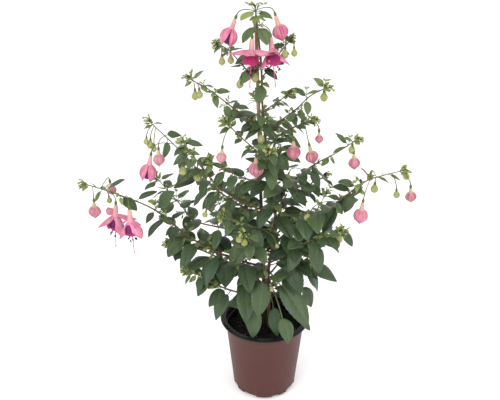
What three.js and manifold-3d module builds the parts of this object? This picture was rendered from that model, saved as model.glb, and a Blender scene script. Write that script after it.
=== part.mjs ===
// A standing fuchsia in flower, trained as a pyramid on a bamboo cane, in a plastic nursery pot.
// Millimetres, +Z up, -Y towards the viewer. The origin is the centre of the pot's foot.
import * as THREE from 'three';
import { mergeVertices } from 'three/addons/utils/BufferGeometryUtils.js';
import Module from 'manifold-3d';

// ---------------------------------------------------------------- driving dimensions

const SEAT_GAP = 0.3; // between two pieces that touch
const LEAF_CLEARANCE = 0.5; // between a leaf and anything that isn't its own shoot
const LEAF_NODE_REACH = 7; // leaves of one shoot that start closer than this may touch
const SHORTEST_EDGE = 0.04;

const POT_HEIGHT = 155;
const POT_LIP_RADIUS = 85;
const POT_LIP_THICKNESS = 2.4;
const POT_COLLAR_RADIUS = 75.6;
const POT_COLLAR_HEIGHT = 18;
const POT_BODY_TOP_RADIUS = 74;
const POT_FOOT_RADIUS = 60.4;
const POT_FOOT_CHAMFER = 5;
const POT_WALL = 1.8;
const POT_FLOOR = 2.4;
const POT_FLOOR_RAISE = 4;
const POT_HUB_RADIUS = 18;
const POT_FOOT_RING = 9;
const POT_NOTCH_TURNS = 4; // how often the pair of notches comes back round the foot
const POT_NOTCHES = [[-119, 27], [-67, 13]]; // heading in degrees and width of each
const POT_NOTCH_DEPTH = 14;
const POT_NOTCH_HEIGHT = 4.6;
const POT_DRAIN_HOLES = 5;
const POT_DRAIN_RADIUS = 6;
const POT_SIDES = 32;

const SOIL_TOP = 132;
const SOIL_DIP = 2; // how far the soil falls from its middle to the wall

const CANE_RADIUS = 3.1;
const CANE_FOOT = [3, 7, 20];
const CANE_HEAD = [-19, 6, 714];

const STEM_BASE_RADIUS = 3.6;
const STEM_TIP_RADIUS = 1.2;
const STEM_ROUTE = [
  [7, -4, 70], [7, -4, 190], [5, -4, 245], [9, -4, 286], [17, -4, 339], [15, -4, 411],
  [4, -4, 481], [-6, -4, 551], [-10, -4, 645], [-17, -4, 711], [-20, -4, 738],
];

const TIE_WIDTH = 3;
const TIE_THICKNESS = 1;
const TIE_HEIGHTS = { tie_upper: 605, tie_lower: 300 };

const BRANCH_TIP_RADIUS = 0.8;
const STALK_RADIUS = 0.6;

const PETIOLE_HALF_WIDTH = 0.7;
const LEAF_WIDTH_RATIO = 0.48; // full width over length
const LEAF_WIDTH_MAX = 38;
const LEAF_KEEL = 0.9; // depth of the midrib under the blade
const LEAF_BARE = 0.18; // share of a leaf's length that is stalk
const LEAF_WIDEST = 0.39; // share of its blade at which it is widest
const LEAF_PROFILE = [0, 0, 1, 0]; // half width at the shoot, where the blade starts, widest and tip
const LEAF_SPREAD = 56; // degrees between a leaf and its shoot
const LEAF_TURNS = [0, 10, -10, 22, -22, 38, -38, 56, -56]; // tried in turn where a leaf has no room

// A clear space over the soil behind the plant, where it is watered.
const WATERING_SPACE = { low: [-34, 34, 134], high: [34, 60, 154] };

// Shoots: where each leaves the main stem, its route, its leaf pairs and their length from foot to
// tip. The first route point is worked out from the height on the main stem.
const BRANCHES = {
  shoot_top_left: { from: 618, route: [[-28, -2, 632], [-48, 14, 650], [-66, 20, 667], [-82, 20, 675]],
    radius: 1.2, pairs: 3, span: [0.4, 0.94], leaf: [28, 18] },
  shoot_top_right: { from: 626, route: [[6, 4, 644], [22, 13, 666], [38, 14, 686]],
    radius: 1.2, pairs: 3, span: [0.4, 0.94], leaf: [28, 18] },
  left_top: { from: 532, route: [[-33, -10, 558], [-64, -20, 586], [-96, -25, 613], [-126, -30, 632]],
    radius: 1.4, pairs: 4, span: [0.08, 0.38], leaf: [36, 22] },
  left_upper: { from: 352, route: [[-40, 2, 385], [-95, 14, 420], [-140, 4, 482], [-195, -22, 555]],
    radius: 1.8, pairs: 9, span: [0.1, 0.74], leaf: [68, 28] },
  left_mid: { from: 378, route: [[-30, -22, 402], [-80, -34, 440], [-110, -42, 485], [-138, -52, 532]],
    radius: 1.6, pairs: 8, span: [0.12, 0.95], leaf: [64, 26] },
  left_long: { from: 262, route: [[-70, -12, 292], [-133, -22, 334], [-192, -42, 400], [-251, -58, 437],
    [-302, -72, 463]], radius: 2.2, pairs: 8, span: [0.12, 0.54], leaf: [84, 30] },
  left_rear: { from: 318, route: [[-30, -2, 324], [-72, 14, 334], [-131, 26, 344], [-154, 30, 372],
    [-178, 34, 400], [-198, 38, 425]], radius: 1.8, pairs: 8, span: [0.14, 0.96], leaf: [70, 30] },
  left_inner: { from: 432, route: [[-39, -14, 450], [-73, -28, 474], [-96, -36, 492]],
    radius: 1.3, pairs: 6, span: [0.14, 0.94], leaf: [48, 28] },
  left_low: { from: 204, route: [[-50, -24, 222], [-96, -44, 254], [-112, -54, 274], [-140, -64, 290]],
    radius: 1.7, pairs: 4, span: [0.4, 0.92], leaf: [70, 18] },
  left_side: { from: 236, route: [[-60, 8, 262], [-120, -4, 300], [-176, -24, 326]],
    radius: 1.8, pairs: 5, span: [0.32, 0.86], leaf: [94, 36] },
  left_crown: { from: 486, route: [[-14, -26, 504], [-36, -34, 527], [-58, -36, 550], [-68, -38, 562]],
    radius: 1.3, pairs: 5, span: [0.16, 0.95], leaf: [36, 20] },
  right_high: { from: 568, route: [[8, -10, 580], [24, -16, 594], [36, -20, 606]],
    radius: 1.1, pairs: 4, span: [0.4, 0.95], leaf: [30, 18] },
  right_crown: { from: 500, route: [[22, -18, 532], [50, -24, 550], [77, -26, 562]],
    radius: 1.3, pairs: 6, span: [0.16, 0.95], leaf: [40, 20] },
  right_top: { from: 522, route: [[24, -14, 556], [48, -20, 578], [70, -24, 602], [96, -28, 618]],
    radius: 1.4, pairs: 3, span: [0.08, 0.36], leaf: [40, 22] },
  right_upper: { from: 414, route: [[40, -14, 440], [80, -20, 478], [115, -26, 502], [150, -32, 530]],
    radius: 1.6, pairs: 6, span: [0.1, 0.44], leaf: [62, 28] },
  right_long: { from: 312, route: [[61, -18, 369], [109, -30, 401], [138, -38, 431], [168, -44, 460],
    [190, -48, 471], [227, -56, 486]], radius: 2, pairs: 7, span: [0.08, 0.4], leaf: [76, 34] },
  right_inner: { from: 358, route: [[34, 20, 384], [66, 26, 412], [104, 20, 440]],
    radius: 1.5, pairs: 6, span: [0.16, 0.95], leaf: [60, 30] },
  right_mid: { from: 274, route: [[40, -30, 309], [72, -54, 347], [102, -68, 365], [127, -80, 384]],
    radius: 1.8, pairs: 6, span: [0.34, 0.95], leaf: [80, 36] },
  right_low: { from: 236, route: [[30, -14, 256], [52, -22, 276], [74, -30, 292]],
    radius: 1.8, pairs: 3, span: [0.62, 0.92], leaf: [90, 56] },
  front_low: { from: 250, route: [[-6, -38, 296], [-21, -76, 348], [-36, -104, 391]],
    radius: 1.7, pairs: 3, span: [0.66, 0.95], leaf: [54, 34] },
  front_mid: { from: 342, route: [[-8, -36, 362], [-40, -72, 392], [-72, -102, 420]],
    radius: 1.6, pairs: 7, span: [0.12, 0.95], leaf: [66, 32] },
  front_upper: { from: 462, route: [[2, -34, 484], [6, -60, 508], [4, -82, 530]],
    radius: 1.3, pairs: 6, span: [0.14, 0.94], leaf: [48, 26] },
  rear_low_left: { from: 228, route: [[-18, -2, 238], [-40, 40, 258], [-70, 90, 292], [-96, 138, 334]],
    radius: 1.8, pairs: 6, span: [0.34, 0.96], leaf: [88, 38] },
  rear_low_right: { from: 246, route: [[38, 32, 270], [80, 80, 306], [118, 134, 352]],
    radius: 1.8, pairs: 7, span: [0.2, 0.96], leaf: [84, 38] },
  rear_mid: { from: 330, route: [[36, 20, 348], [34, 66, 388], [20, 116, 436], [10, 152, 478]],
    radius: 1.7, pairs: 8, span: [0.2, 0.96], leaf: [72, 30] },
  rear_upper: { from: 470, route: [[16, 14, 488], [2, 52, 522], [-24, 90, 562]],
    radius: 1.4, pairs: 6, span: [0.2, 0.95], leaf: [52, 28] },
};

// Leaves on the main stem itself, in pairs: height, heading of the first leaf in degrees, length.
const STEM_PAIRS = [
  [196, 20, 84], [214, 150, 76], [268, 15, 80], [290, 340, 70], [306, 165, 74],
  [330, 230, 64], [350, 40, 64], [372, 300, 60], [392, 200, 58], [418, 265, 54], [440, 30, 52],
  [464, 220, 50], [488, 285, 46], [514, 240, 44], [540, 35, 40], [562, 265, 36], [640, 150, 32],
];

// Leaves placed one by one, the large low ones and those that show in the outline of the plant:
// owner, share along it, where the tip is, how far the leaf bends down on its way, in degrees, and
// for a leaf on a long stalk the stalk's share of its length.
const PLACED_LEAVES = [
  ['left_side', 0.4, [-70, -84, 266], 50], ['left_side', 0.52, [-144, -50, 280], 40],
  ['left_side', 0.74, [-158, -34, 296], 30], ['left_side', 0.22, [-34, -66, 181], 30],
  ['left_low', 0.35, [-101, -70, 219], 50], ['left_low', 0.31, [-89, -52, 179], 45],
  ['left_low', 0.72, [-122, -66, 250], 20], ['left_low', 0.84, [-136, -66, 268], 20],
  ['left_low', 0.12, [-21, -60, 145], 30, 0.3], ['front_low', 0.2, [-14, -76, 204], 25, 0.3],
  ['main_stem', 0.16, [25, -56, 145], 30, 0.45], ['main_stem', 0.18, [84, -46, 153], 40, 0.7],
  ['main_stem', 0.23, [78, -80, 182], 25, 0.3], ['main_stem', 0.2, [43, -96, 160], 35, 0.65],
  ['right_low', 0.4, [89, -12, 182], 40, 0.5], ['right_low', 0.97, [131, -44, 262], 20],
  ['right_low', 0.8, [94, -38, 260], 30], ['right_low', 0.3, [58, -46, 228], 20],
  ['right_mid', 0.2, [64, -74, 252], 45],
  ['right_mid', 0.56, [94, -76, 296], 20], ['right_mid', 0.44, [40, -78, 300], 20],
  ['right_long', 0.2, [94, -44, 309], 45], ['rear_low_right', 0.54, [91, 40, 249], 15],
  ['main_stem', 0.98, [-42, -34, 725], 60], ['main_stem', 0.97, [8, -10, 722], 50],
  ['main_stem', 0.9, [-41, -26, 689], 40], ['main_stem', 0.9, [3, -24, 685], 40],
  ['main_stem', 0.82, [-53, -12, 649], 40], ['main_stem', 0.81, [-49, -18, 613], 60],
  ['main_stem', 0.82, [29, -20, 626], 60], ['main_stem', 0.78, [10, -12, 608], 45],
  ['main_stem', 0.77, [-13, -40, 592], 40], ['main_stem', 0.76, [28, -18, 586], 30],
  ['main_stem', 0.71, [-75, -10, 552], 30], ['main_stem', 0.7, [20, -22, 525], 30],
  ['main_stem', 0.7, [-32, -16, 539], 30], ['main_stem', 0.58, [-16, -28, 448], 30],
  ['shoot_top_right', 0.87, [4, 2, 673], 20], ['shoot_top_left', 0.74, [-40, 14, 669], 30],
  ['shoot_top_left', 0.85, [-60, 16, 658], 30],
  ['left_top', 0.96, [-101, -29, 644], 40], ['left_top', 0.81, [-86, -34, 617], 70],
  ['left_top', 0.85, [-97, -41, 612], 40], ['left_top', 0.67, [-59, -27, 608], 60],
  ['left_top', 0.68, [-80, -38, 584], 20], ['left_top', 0.51, [-46, -26, 594], 10],
  ['left_top', 0.42, [-28, -21, 578], 60], ['left_top', 0.44, [-54, -32, 566], 30],
  ['left_top', 0.52, [-66, -28, 560], 20],
  ['right_top', 0.96, [73, -27, 633], 50], ['right_top', 0.91, [63, -37, 607], 40],
  ['right_top', 0.7, [39, -23, 615], 50], ['right_top', 0.69, [66, -39, 573], 15],
  ['right_top', 0.43, [47, -35, 553], 15], ['right_top', 0.5, [62, -30, 558], 40],
  ['right_top', 0.22, [41, -21, 540], 30], ['right_crown', 0.4, [57, -26, 512], 20],
  ['left_upper', 0.98, [-173, -22, 550], 60], ['left_upper', 0.9, [-143, -15, 519], 60],
  ['left_upper', 0.88, [-169, -25, 489], 15], ['left_mid', 0.97, [-106, -40, 518], 60],
  ['left_mid', 0.9, [-110, -46, 505], 30], ['left_mid', 0.88, [-155, -54, 490], 20],
  ['left_mid', 0.74, [-100, -52, 462], 20], ['left_inner', 0.66, [-95, -34, 484], 40],
  ['left_inner', 0.85, [-78, -45, 465], 30], ['left_upper', 0.6, [-164, 4, 420], 20],
  ['left_rear', 0.68, [-119, 22, 390], 20], ['left_rear', 0.6, [-143, 14, 322], 15],
  ['left_long', 0.86, [-234, -65, 466], 60], ['left_long', 0.89, [-289, -70, 426], 20],
  ['left_long', 0.93, [-292, -78, 466], 50], ['left_long', 0.78, [-206, -72, 421], 15],
  ['left_long', 0.6, [-155, -50, 440], 10], ['left_long', 0.6, [-207, -56, 380], 20],
  ['left_long', 0.58, [-165, -50, 373], 20], ['left_long', 0.48, [-177, -35, 345], 50],
  ['left_long', 0.7, [-186, -40, 436], 40],
  ['right_upper', 0.95, [125, -34, 532], 80], ['right_upper', 0.9, [113, -26, 540], 30],
  ['right_upper', 0.89, [110, -39, 507], 30], ['right_upper', 0.69, [92, -38, 483], 10],
  ['right_upper', 0.69, [115, -33, 485], 60], ['right_upper', 0.47, [91, -31, 440], 10],
  ['right_upper', 0.46, [89, -23, 466], 30],
  ['right_long', 0.58, [120, -46, 459], 70], ['right_long', 0.62, [158, -48, 466], 50],
  ['right_long', 0.55, [112, -40, 448], 10], ['right_long', 0.64, [143, -52, 434], 15],
  ['right_long', 0.72, [153, -50, 489], 20], ['right_long', 0.86, [191, -54, 482], 50],
  ['right_long', 0.8, [204, -56, 462], 40], ['right_long', 0.9, [222, -58, 468], 20],
  ['right_long', 0.56, [133, -52, 403], 20], ['right_long', 0.5, [124, -50, 388], 15],
  ['right_long', 0.44, [105, -34, 426], 40], ['right_long', 0.42, [100, -50, 362], 10],
  ['right_long', 0.4, [128, -46, 374], 20],
];

// Flowers and coloured buds: the shoot that carries each, the share along it where its stalk
// starts, the top of its ovary, and how far it leans from hanging straight, in mm per mm of drop.
// An open flower's sepals each have a heading and the slope at which they leave the tube, in degrees.
// A bud has a radius and, where its neck is longer than usual, the neck's length over that radius.
const OPEN_FLOWERS = {
  flower_top_front: { on: 'main_stem', at: 0.925, head: [-24, -26, 703], lean: [-0.06, -0.05],
    sepals: [[192, 4], [338, 14], [262, 12], [100, -6]] },
  flower_top_right: { on: 'main_stem', at: 0.905, head: [4, -16, 703], lean: [0.1, -0.15],
    sepals: [[350, -32], [280, 14], [216, -38], [84, 0]] },
  flower_left_outer: { on: 'left_long', at: 0.84, head: [-253, -68, 430], lean: [-0.08, -0.06],
    sepals: [[196, -24], [306, -38], [20, -2], [120, 8]] },
  flower_left_inner: { on: 'left_long', at: 0.76, head: [-224, -104, 440], lean: [0.04, -0.1],
    sepals: [[208, -40], [318, -30], [70, -24], [122, -10]] },
};
const HALF_OPEN_FLOWERS = {
  flower_top_left: { on: 'main_stem', at: 0.985, head: [-49, -10, 730], lean: [-0.38, -0.1] },
  flower_left_mid: { on: 'left_upper', at: 0.84, head: [-192, -42, 509], lean: [-0.2, -0.1] },
};
const COLOURED_BUDS = {
  bud_top_right: { on: 'main_stem', at: 0.99, head: [10, -6, 734],
    lean: [0.32, -0.05], radius: 13, neck: 1.15 },
  bud_left_upper: { on: 'left_upper', at: 0.9, head: [-180, -40, 518],
    lean: [0, -0.1], radius: 10 },
  bud_left_end: { on: 'left_long', at: 0.95, head: [-285, -88, 444],
    lean: [0, -0.05], radius: 10.5 },
  bud_left_rear: { on: 'left_long', at: 0.9, head: [-266, -44, 459],
    lean: [0.1, 0.05], radius: 8.5 },
  bud_inner_left: { on: 'left_crown', at: 0.8, head: [-72, -56, 528],
    lean: [-0.1, -0.1], radius: 9 },
  bud_middle: { on: 'front_upper', at: 0.5, head: [-17, -52, 512],
    lean: [0, -0.1], radius: 13 },
  bud_right_inner: { on: 'right_crown', at: 0.55, head: [44, -36, 535],
    lean: [0.05, -0.1], radius: 12 },
  bud_right_upper: { on: 'right_crown', at: 0.82, head: [70, -32, 524],
    lean: [0.25, 0], radius: 11, neck: 0.9 },
  bud_right_top: { on: 'right_crown', at: 0.96, head: [86, -34, 550],
    lean: [0.05, -0.05], radius: 7 },
  bud_right_side: { on: 'right_upper', at: 0.93, head: [145, -34, 512],
    lean: [0.1, -0.05], radius: 10 },
  bud_right_low: { on: 'right_long', at: 0.72, head: [165, -52, 431],
    lean: [-0.1, -0.05], radius: 13, neck: 1.05 },
  bud_right_end: { on: 'right_long', at: 0.97, head: [240, -60, 462],
    lean: [0.1, 0], radius: 9.5 },
};

// Flower proportions, measured down from the top of the ovary.
const OVARY_LENGTH = 7;
const OVARY_RADIUS = 2.4;
const BUD_NECK = 0.75; // length of a pink bud's neck, times its radius
const TUBE_END = 28.5;
const TUBE_NECK_RADIUS = 2;
const TUBE_END_RADIUS = 4.2;
const SEPAL_ROOT = 24.5;
const SEPAL_INSET = 1.3; // from the flower's axis to where a sepal starts, inside the tube
const SEPAL_LENGTH = 38;
const SEPAL_HALF_WIDTH = 10;
const SEPAL_ROOT_HALF_WIDTH = 2.6;
const SEPAL_DROOP = 44; // degrees that a sepal bends down from its root to its tip
const SKIRT_OUTLINE = [
  [3.2, 0], [4.4, 0], [8.6, 6.4], [12.4, 13], [14.4, 20], [13.4, 20.4], [11.4, 13.4], [7.2, 6],
];
const STAMEN_SPREAD = [[6, 0, 32], [0, 6, 30], [-6, 0, 33], [0, -6, 31], [1, 1, 56]]; // ends; style last

// ---------------------------------------------------------------- materials

const finish = (colour, roughness) => (
  new THREE.MeshStandardMaterial({ color: colour, roughness, metalness: 0 }));
const LEAF_FINISH = [0x47683f, 0.5];
const WOOD_STEM_FINISH = [0x7a4a3c, 0.7];

// ---------------------------------------------------------------- solids

const wasm = await Module();
wasm.setup();

const vector = (coordinates) => new THREE.Vector3(...coordinates);
const lerp = THREE.MathUtils.lerp;
const radians = THREE.MathUtils.degToRad;
const UP = new THREE.Vector3(0, 0, 1);

/** A repeatable number from 0 to 1 for a seed. */
function wobble(seed) {
  const wave = Math.sin(seed * 12.9898) * 43758.5453;
  return wave - Math.floor(wave);
}

/** A solid from a closed geometry, with its faces pointing out. */
function solidOf(geometry) {
  const bare = new THREE.BufferGeometry();
  bare.setAttribute('position', geometry.getAttribute('position'));
  bare.setIndex(geometry.index);
  const merged = mergeVertices(bare, 1e-3);
  const corners = merged.getAttribute('position');
  const [a, b, c] = [new THREE.Vector3(), new THREE.Vector3(), new THREE.Vector3()];
  const faces = [];
  let sixVolumes = 0;
  for (let i = 0; i < merged.index.count; i += 3) {
    const face = [merged.index.getX(i), merged.index.getX(i + 1), merged.index.getX(i + 2)];
    if (new Set(face).size === 3) {
      faces.push(face);
      a.fromBufferAttribute(corners, face[0]);
      b.fromBufferAttribute(corners, face[1]);
      c.fromBufferAttribute(corners, face[2]);
      sixVolumes += a.dot(b.cross(c));
    }
  }
  const outward = sixVolumes > 0 ? faces : faces.map(([p, q, r]) => [p, r, q]);
  return new wasm.Manifold(new wasm.Mesh({
    numProp: 3,
    vertProperties: new Float32Array(corners.array),
    triVerts: new Uint32Array(outward.flat()),
  }));
}

/** The geometry of a solid, for a mesh, without the slivers that joining leaves. */
function geometryOf(solid) {
  const mesh = solid.simplify(SHORTEST_EDGE).getMesh();
  const geometry = new THREE.BufferGeometry();
  geometry.setAttribute('position', new THREE.BufferAttribute(new Float32Array(mesh.vertProperties), 3));
  geometry.setIndex([...mesh.triVerts]);
  geometry.computeVertexNormals();
  return geometry;
}

/** A solid turned about the Z axis: outline points are [radius, height]. */
function turned(outline, sides) {
  const lathe = new THREE.LatheGeometry(outline.map(([r, z]) => new THREE.Vector2(r, z)), sides);
  return solidOf(lathe.rotateX(Math.PI / 2));
}

/** A cylinder whose skin is moved: place(along, east, north) gives each point from its unit place. */
function sweep(sides, steps, startAngle, place) {
  const geometry = new THREE.CylinderGeometry(1, 1, 1, sides, steps, false, startAngle);
  const points = geometry.getAttribute('position');
  for (let i = 0; i < points.count; i += 1) {
    const point = place(points.getY(i) + 0.5, points.getX(i), points.getZ(i));
    points.setXYZ(i, point.x, point.y, point.z);
  }
  return solidOf(geometry);
}

/** A tapering round stem along a curve, with flat ends, or with a margin, the room it needs. */
function stemAlong(curve, startRadius, endRadius, sides, steps, margin = 0) {
  const chord = curve.getPoint(1).sub(curve.getPoint(0));
  const across = chord.cross(UP);
  if (across.length() < 0.2 * chord.length()) {
    across.set(1, 0, 0);
  }
  return sweep(sides, steps, 0, (along, east, north) => {
    const tangent = curve.getTangent(along);
    const side = across.clone().addScaledVector(tangent, -across.dot(tangent)).normalize();
    const lift = side.clone().cross(tangent);
    const radius = lerp(startRadius, endRadius, along) + margin;
    const overrun = margin * (Math.round(along) === along ? 2 * along - 1 : 0);
    return curve.getPoint(along).addScaledVector(tangent, overrun)
      .addScaledVector(side, east * radius).addScaledVector(lift, north * radius);
  });
}

// ---------------------------------------------------------------- leaves and sepals

/** The spine of a blade that starts at a point and bends towards the ground as it goes. */
function bladeSpine(blade, along) {
  const heading = radians(blade.heading);
  const steps = 24;
  const spine = vector([0, 0, 0]);
  for (let i = 0; i < steps; i += 1) {
    const slope = radians(blade.rise - blade.droop * along * ((i + 0.5) / steps));
    spine.x += Math.cos(slope) * Math.cos(heading);
    spine.y += Math.cos(slope) * Math.sin(heading);
    spine.z += Math.sin(slope);
  }
  spine.multiplyScalar((along * blade.length) / steps).add(blade.root);
  const slope = radians(blade.rise - blade.droop * along);
  const side = new THREE.Vector3(-Math.sin(heading), Math.cos(heading), 0);
  const lift = new THREE.Vector3(-Math.sin(slope) * Math.cos(heading), -Math.sin(slope) * Math.sin(heading),
    Math.cos(slope));
  return { spine, side, lift };
}

/** A leaf or sepal: a blade with a keel under its midrib, or with a margin, a box round it. */
function bladeSolid(blade, margin) {
  const stations = [0, blade.bare, lerp(blade.bare, 1, LEAF_WIDEST), 1];
  const steps = stations.length - 1;
  const halfWidth = (station) => Math.max(blade.halfWidth * LEAF_PROFILE[station],
    station === steps ? 0 : blade.stalk) + margin;
  const boxed = margin > 0;
  const corner = Math.SQRT2;
  return sweep(boxed ? 4 : 3, steps, boxed ? Math.PI / 4 : 0, (share, east, north) => {
    const station = Math.round(share * steps);
    const { spine, side, lift } = bladeSpine(blade, stations[station]);
    const middle = east === 0 && north === 0;
    const depth = station === steps && !boxed ? 0 : LEAF_KEEL;
    const sideways = boxed ? east * corner : (2 * east) / Math.sqrt(3);
    const upright = boxed ? (north * corner - 1) / 2 : -(north + 0.5) / 1.5;
    const rise = middle ? -depth / 2 : upright * (depth + 2 * margin) + margin;
    return spine.addScaledVector(side, sideways * halfWidth(station)).addScaledVector(lift, rise);
  });
}

/** A leaf of a given length on a shoot, narrower where more of the length is stalk. */
function leafBlade(root, heading, rise, length, droop, bare = LEAF_BARE) {
  const width = length * LEAF_WIDTH_RATIO * ((1 - bare) / (1 - LEAF_BARE));
  const halfWidth = Math.min(LEAF_WIDTH_MAX, width) / 2;
  return { root, heading, rise, length, droop, bare, halfWidth, stalk: PETIOLE_HALF_WIDTH };
}

// ---------------------------------------------------------------- pot, soil, cane and ties

/** The radius of the pot's outer wall at a height. */
function potRadius(height) {
  const share = (height - POT_FOOT_CHAMFER) / (POT_HEIGHT - POT_COLLAR_HEIGHT - POT_FOOT_CHAMFER);
  return lerp(POT_FOOT_RADIUS, POT_BODY_TOP_RADIUS, share);
}

/** A thin-walled pot with a flared lip, a collar, a raised floor and a notched foot. */
function makePot() {
  const collarFoot = POT_HEIGHT - POT_COLLAR_HEIGHT;
  const ringInside = POT_FOOT_RADIUS - POT_FOOT_CHAMFER - POT_FOOT_RING;
  const floorTop = POT_FLOOR_RAISE + POT_FLOOR;
  let pot = turned([
    [0, 0], [POT_HUB_RADIUS, 0], [POT_HUB_RADIUS + 3, POT_FLOOR_RAISE], [ringInside - 3, POT_FLOOR_RAISE],
    [ringInside, 0], [POT_FOOT_RADIUS - POT_FOOT_CHAMFER, 0], [POT_FOOT_RADIUS, POT_FOOT_CHAMFER],
    [POT_BODY_TOP_RADIUS, collarFoot], [POT_COLLAR_RADIUS - 0.4, collarFoot + 1.5],
    [POT_COLLAR_RADIUS + 0.6, POT_HEIGHT - POT_LIP_THICKNESS - 1],
    [POT_LIP_RADIUS, POT_HEIGHT - POT_LIP_THICKNESS], [POT_LIP_RADIUS, POT_HEIGHT - 0.6],
    [POT_LIP_RADIUS - 1, POT_HEIGHT], [POT_COLLAR_RADIUS - POT_WALL + 1, POT_HEIGHT],
    [POT_COLLAR_RADIUS - POT_WALL - 0.4, collarFoot + 1], [POT_BODY_TOP_RADIUS - POT_WALL, collarFoot],
    [potRadius(floorTop) - POT_WALL, floorTop], [0, floorTop],
  ], POT_SIDES);
  for (let turn = 0; turn < POT_NOTCH_TURNS; turn += 1) {
    for (const [heading, width] of POT_NOTCHES) {
      const notch = new THREE.BoxGeometry(POT_NOTCH_DEPTH, width, 2 * POT_NOTCH_HEIGHT)
        .translate(POT_FOOT_RADIUS - POT_FOOT_CHAMFER, 0, 0);
      notch.rotateZ(radians(heading) + (turn / POT_NOTCH_TURNS) * 2 * Math.PI);
      pot = pot.subtract(solidOf(notch));
    }
  }
  for (let i = 0; i < POT_DRAIN_HOLES; i += 1) {
    const hole = new THREE.CylinderGeometry(POT_DRAIN_RADIUS, POT_DRAIN_RADIUS, 4 * POT_FLOOR, 10);
    hole.rotateX(Math.PI / 2).translate((POT_HUB_RADIUS + ringInside) / 2, 0, floorTop);
    pot = pot.subtract(solidOf(hole.rotateZ((i / POT_DRAIN_HOLES) * 2 * Math.PI)));
  }
  return pot;
}

/** The root ball, with clearance holes for the cane and the main stem. */
function makeSoil(cane, stem) {
  const foot = POT_FLOOR_RAISE + POT_FLOOR + SEAT_GAP;
  const inset = POT_WALL + SEAT_GAP + 0.3;
  const edge = SOIL_TOP - SOIL_DIP;
  return turned([
    [0, foot], [potRadius(foot) - inset, foot], [potRadius(edge) - inset, edge],
    [0.6 * potRadius(edge), edge + 0.7 * SOIL_DIP], [0, SOIL_TOP],
  ], POT_SIDES).subtract(cane).subtract(stem);
}

const caneCurve = new THREE.LineCurve3(vector(CANE_FOOT), vector(CANE_HEAD));
const stemCurve = new THREE.CatmullRomCurve3(STEM_ROUTE.map(vector), false, 'catmullrom', 0.5);

const makeCane = (margin) => stemAlong(caneCurve, CANE_RADIUS, CANE_RADIUS, 10, 2, margin);
const makeStem = (margin) => stemAlong(stemCurve, STEM_BASE_RADIUS, STEM_TIP_RADIUS, 6, 16, margin);

/** The share along a curve at which it reaches a height. */
function shareAtHeight(curve, height) {
  let [low, high] = [0, 1];
  for (let i = 0; i < 30; i += 1) {
    const middle = (low + high) / 2;
    if (curve.getPoint(middle).z < height) {
      low = middle;
    } else {
      high = middle;
    }
  }
  return low;
}

/** A band round the cane and the main stem: an oval with straight flanks. */
function makeTie(height) {
  const cane = caneCurve.getPoint(shareAtHeight(caneCurve, height));
  const share = shareAtHeight(stemCurve, height);
  const stem = stemCurve.getPoint(share);
  const stemRadius = lerp(STEM_BASE_RADIUS, STEM_TIP_RADIUS, share);
  const inside = Math.max(CANE_RADIUS, stemRadius) + 2 * SEAT_GAP;
  const reach = cane.distanceTo(stem) / 2;
  const oval = (radius) => new THREE.Shape().absarc(reach, 0, radius, -Math.PI / 2, Math.PI / 2)
    .absarc(-reach, 0, radius, Math.PI / 2, (3 * Math.PI) / 2).closePath();
  const band = oval(inside + TIE_THICKNESS);
  band.holes.push(new THREE.Path(oval(inside).getPoints(4)));
  const geometry = new THREE.ExtrudeGeometry(band, {
    depth: TIE_WIDTH, bevelEnabled: false, curveSegments: 4 });
  geometry.rotateZ(Math.atan2(cane.y - stem.y, cane.x - stem.x));
  geometry.translate((cane.x + stem.x) / 2, (cane.y + stem.y) / 2, height - TIE_WIDTH / 2);
  return solidOf(geometry);
}

// ---------------------------------------------------------------- shoots

/** The route of a shoot, from the main stem's middle outwards. */
function branchCurve(branch) {
  const foot = stemCurve.getPoint(shareAtHeight(stemCurve, branch.from));
  return new THREE.CatmullRomCurve3([foot, ...branch.route.map(vector)], false, 'catmullrom', 0.5);
}

const carrierCurve = (name) => (name === 'main_stem' ? stemCurve : branchCurve(BRANCHES[name]));

const branchWood = (branch, margin) => stemAlong(branchCurve(branch), branch.radius, BRANCH_TIP_RADIUS,
  4, 2 * branch.route.length, margin);

/** The pairs of leaves along a shoot, each pair turned against the one before. */
function branchLeaves(branch, seed) {
  const curve = branchCurve(branch);
  const leaves = [];
  for (let pair = 0; pair < branch.pairs; pair += 1) {
    const share = lerp(branch.span[0], branch.span[1], pair / (branch.pairs - 1));
    const tangent = curve.getTangent(share);
    const side = tangent.clone().cross(UP).normalize();
    const lift = side.clone().cross(tangent);
    const roll = radians((pair % 2 ? 62 : 8) + 30 * (wobble(seed + pair) - 0.5));
    for (const sign of [-1, 1]) {
      const luck = wobble(seed + 31 * pair + sign * 7.7);
      const outward = side.clone().multiplyScalar(sign * Math.cos(roll))
        .addScaledVector(lift, sign * Math.sin(roll));
      const aim = tangent.clone().multiplyScalar(Math.cos(radians(LEAF_SPREAD)))
        .addScaledVector(outward, Math.sin(radians(LEAF_SPREAD)));
      const length = lerp(branch.leaf[0], branch.leaf[1], share) * (0.85 + 0.3 * luck);
      const heading = THREE.MathUtils.radToDeg(Math.atan2(aim.y, aim.x));
      const rise = Math.min(THREE.MathUtils.radToDeg(Math.asin(aim.z)), 38);
      leaves.push(leafBlade(curve.getPoint(share), heading, rise, length, 30 + 0.4 * length + 20 * luck));
    }
  }
  return leaves;
}

/** The pairs of leaves on the main stem. */
function stemLeaves() {
  return STEM_PAIRS.flatMap(([height, heading, length], pair) => [0, 180].map((turn) => {
    const root = stemCurve.getPoint(shareAtHeight(stemCurve, height));
    const luck = wobble(400 + pair + turn);
    return leafBlade(root, heading + turn, 30 - 24 * luck, length * (0.88 + 0.24 * luck), 50 + 20 * luck);
  }));
}

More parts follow.
